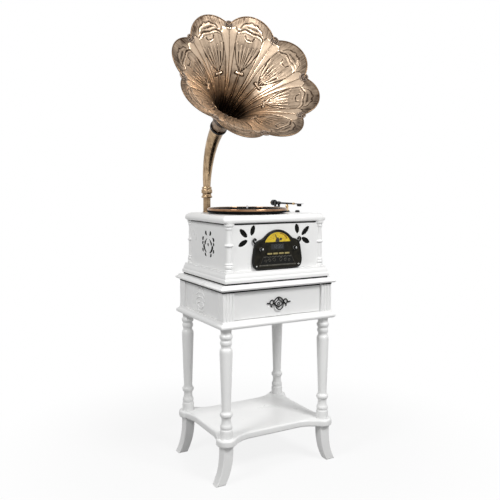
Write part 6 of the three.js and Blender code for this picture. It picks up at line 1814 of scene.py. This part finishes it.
# Rolled rim
# A wire is rolled into the petals' edges all round the mouth, and a thin bead of brazing runs down each seam
# between them. Their patina is left dark.
RIM_RADIUS = 0.0022
SEAM_RADIUS = 0.0012
SEAM_END = 0.985
SEAM_THIN = 0.6  # its thickness at the throat, against that at the rim
rim_brass = antique_brass("rim_brass", (0.3, 0.2, 0.12), (0.08, 0.05, 0.03), 0.75, (150, 150, 150))
mouth_w = np.linspace(-1, 1, 41)[:-1]
seam_v = np.linspace(0, SEAM_END, 60)
rim = []
seams = []
for k in range(PETAL_COUNT):
    turn = bell_turn(2 * k + 1)
    rim += [turn @ Vector(point) for point in bell_point(mouth_w, np.ones_like(mouth_w))]
    line = [turn @ Vector(point) for point in bell_point(0 * seam_v - 1, seam_v)]
    seams.append(rod(line, SEAM_RADIUS, [SEAM_THIN + (1 - SEAM_THIN) * share for share in seam_v]))
bell_piece("bell_rim", moved(rod(rim, RIM_RADIUS, closed=True, sides=3), MOUTH), rim_brass, crease=60)
bell_piece("bell_seams", moved(joined(seams), MOUTH), rim_brass, crease=60)

# Medallions
# A small cast disc hides the end of each seam: a pale raised ring round a dark sunk face with a simple
# flower.
MEDALLION_TILT = math.radians(28)
MEDALLION_SEAT = (BELL_RADIUS, 0, BELL_LENGTH)
MEDALLION_DISC = [(0, -0.002), (0.0145, -0.002), (0.0152, -0.0012), (0.0152, 0.0006), (0, 0.0006)]
MEDALLION_RING = [
    (0.0118, 0.0002), (0.0126, 0.0016), (0.014, 0.002), (0.0154, 0.0012), (0.016, -0.0002), (0.016, -0.0014),
    (0.015, -0.0018), (0.0118, -0.0012),
]
medal_dark = antique_brass("medal_dark", (0.11, 0.08, 0.06), (0.03, 0.022, 0.016), 0.7, (300, 300, 300),
                           gloss=0.5, dull=0.62)
medal_pale = antique_brass("medal_pale", (0.3, 0.24, 0.2), (0.1, 0.075, 0.055), 0.4, (300, 300, 300),
                           gloss=0.5, dull=0.62)
for k in range(PETAL_COUNT):
    tilt = Matrix.Rotation(-MEDALLION_TILT, 4, "Y")
    seat = MOUTH @ bell_turn(2 * k) @ Matrix.Translation(MEDALLION_SEAT) @ tilt
    bell_piece(f"medallion_{k + 1}", moved(turned(MEDALLION_DISC, 48), seat), medal_dark)
    flower = [turned_ring(MEDALLION_RING, 0.0008, 48)]
    for petal in range(6):
        turn = Matrix.Rotation(petal * math.pi / 3, 4, "Z")
        line = [turn @ Vector((r, 0, 0.0008)) for r in (0.002, 0.0045, 0.007, 0.0092)]
        flower.append(rod(line, 0.0019, [0.4, 0.8, 1, 0.3]))
    flower.append(turned([(0, 0), (0.0024, 0), (0.002, 0.0018), (0, 0.0024)], 24))
    bell_piece(f"medallion_flower_{k + 1}", moved(joined(flower), seat), medal_pale)
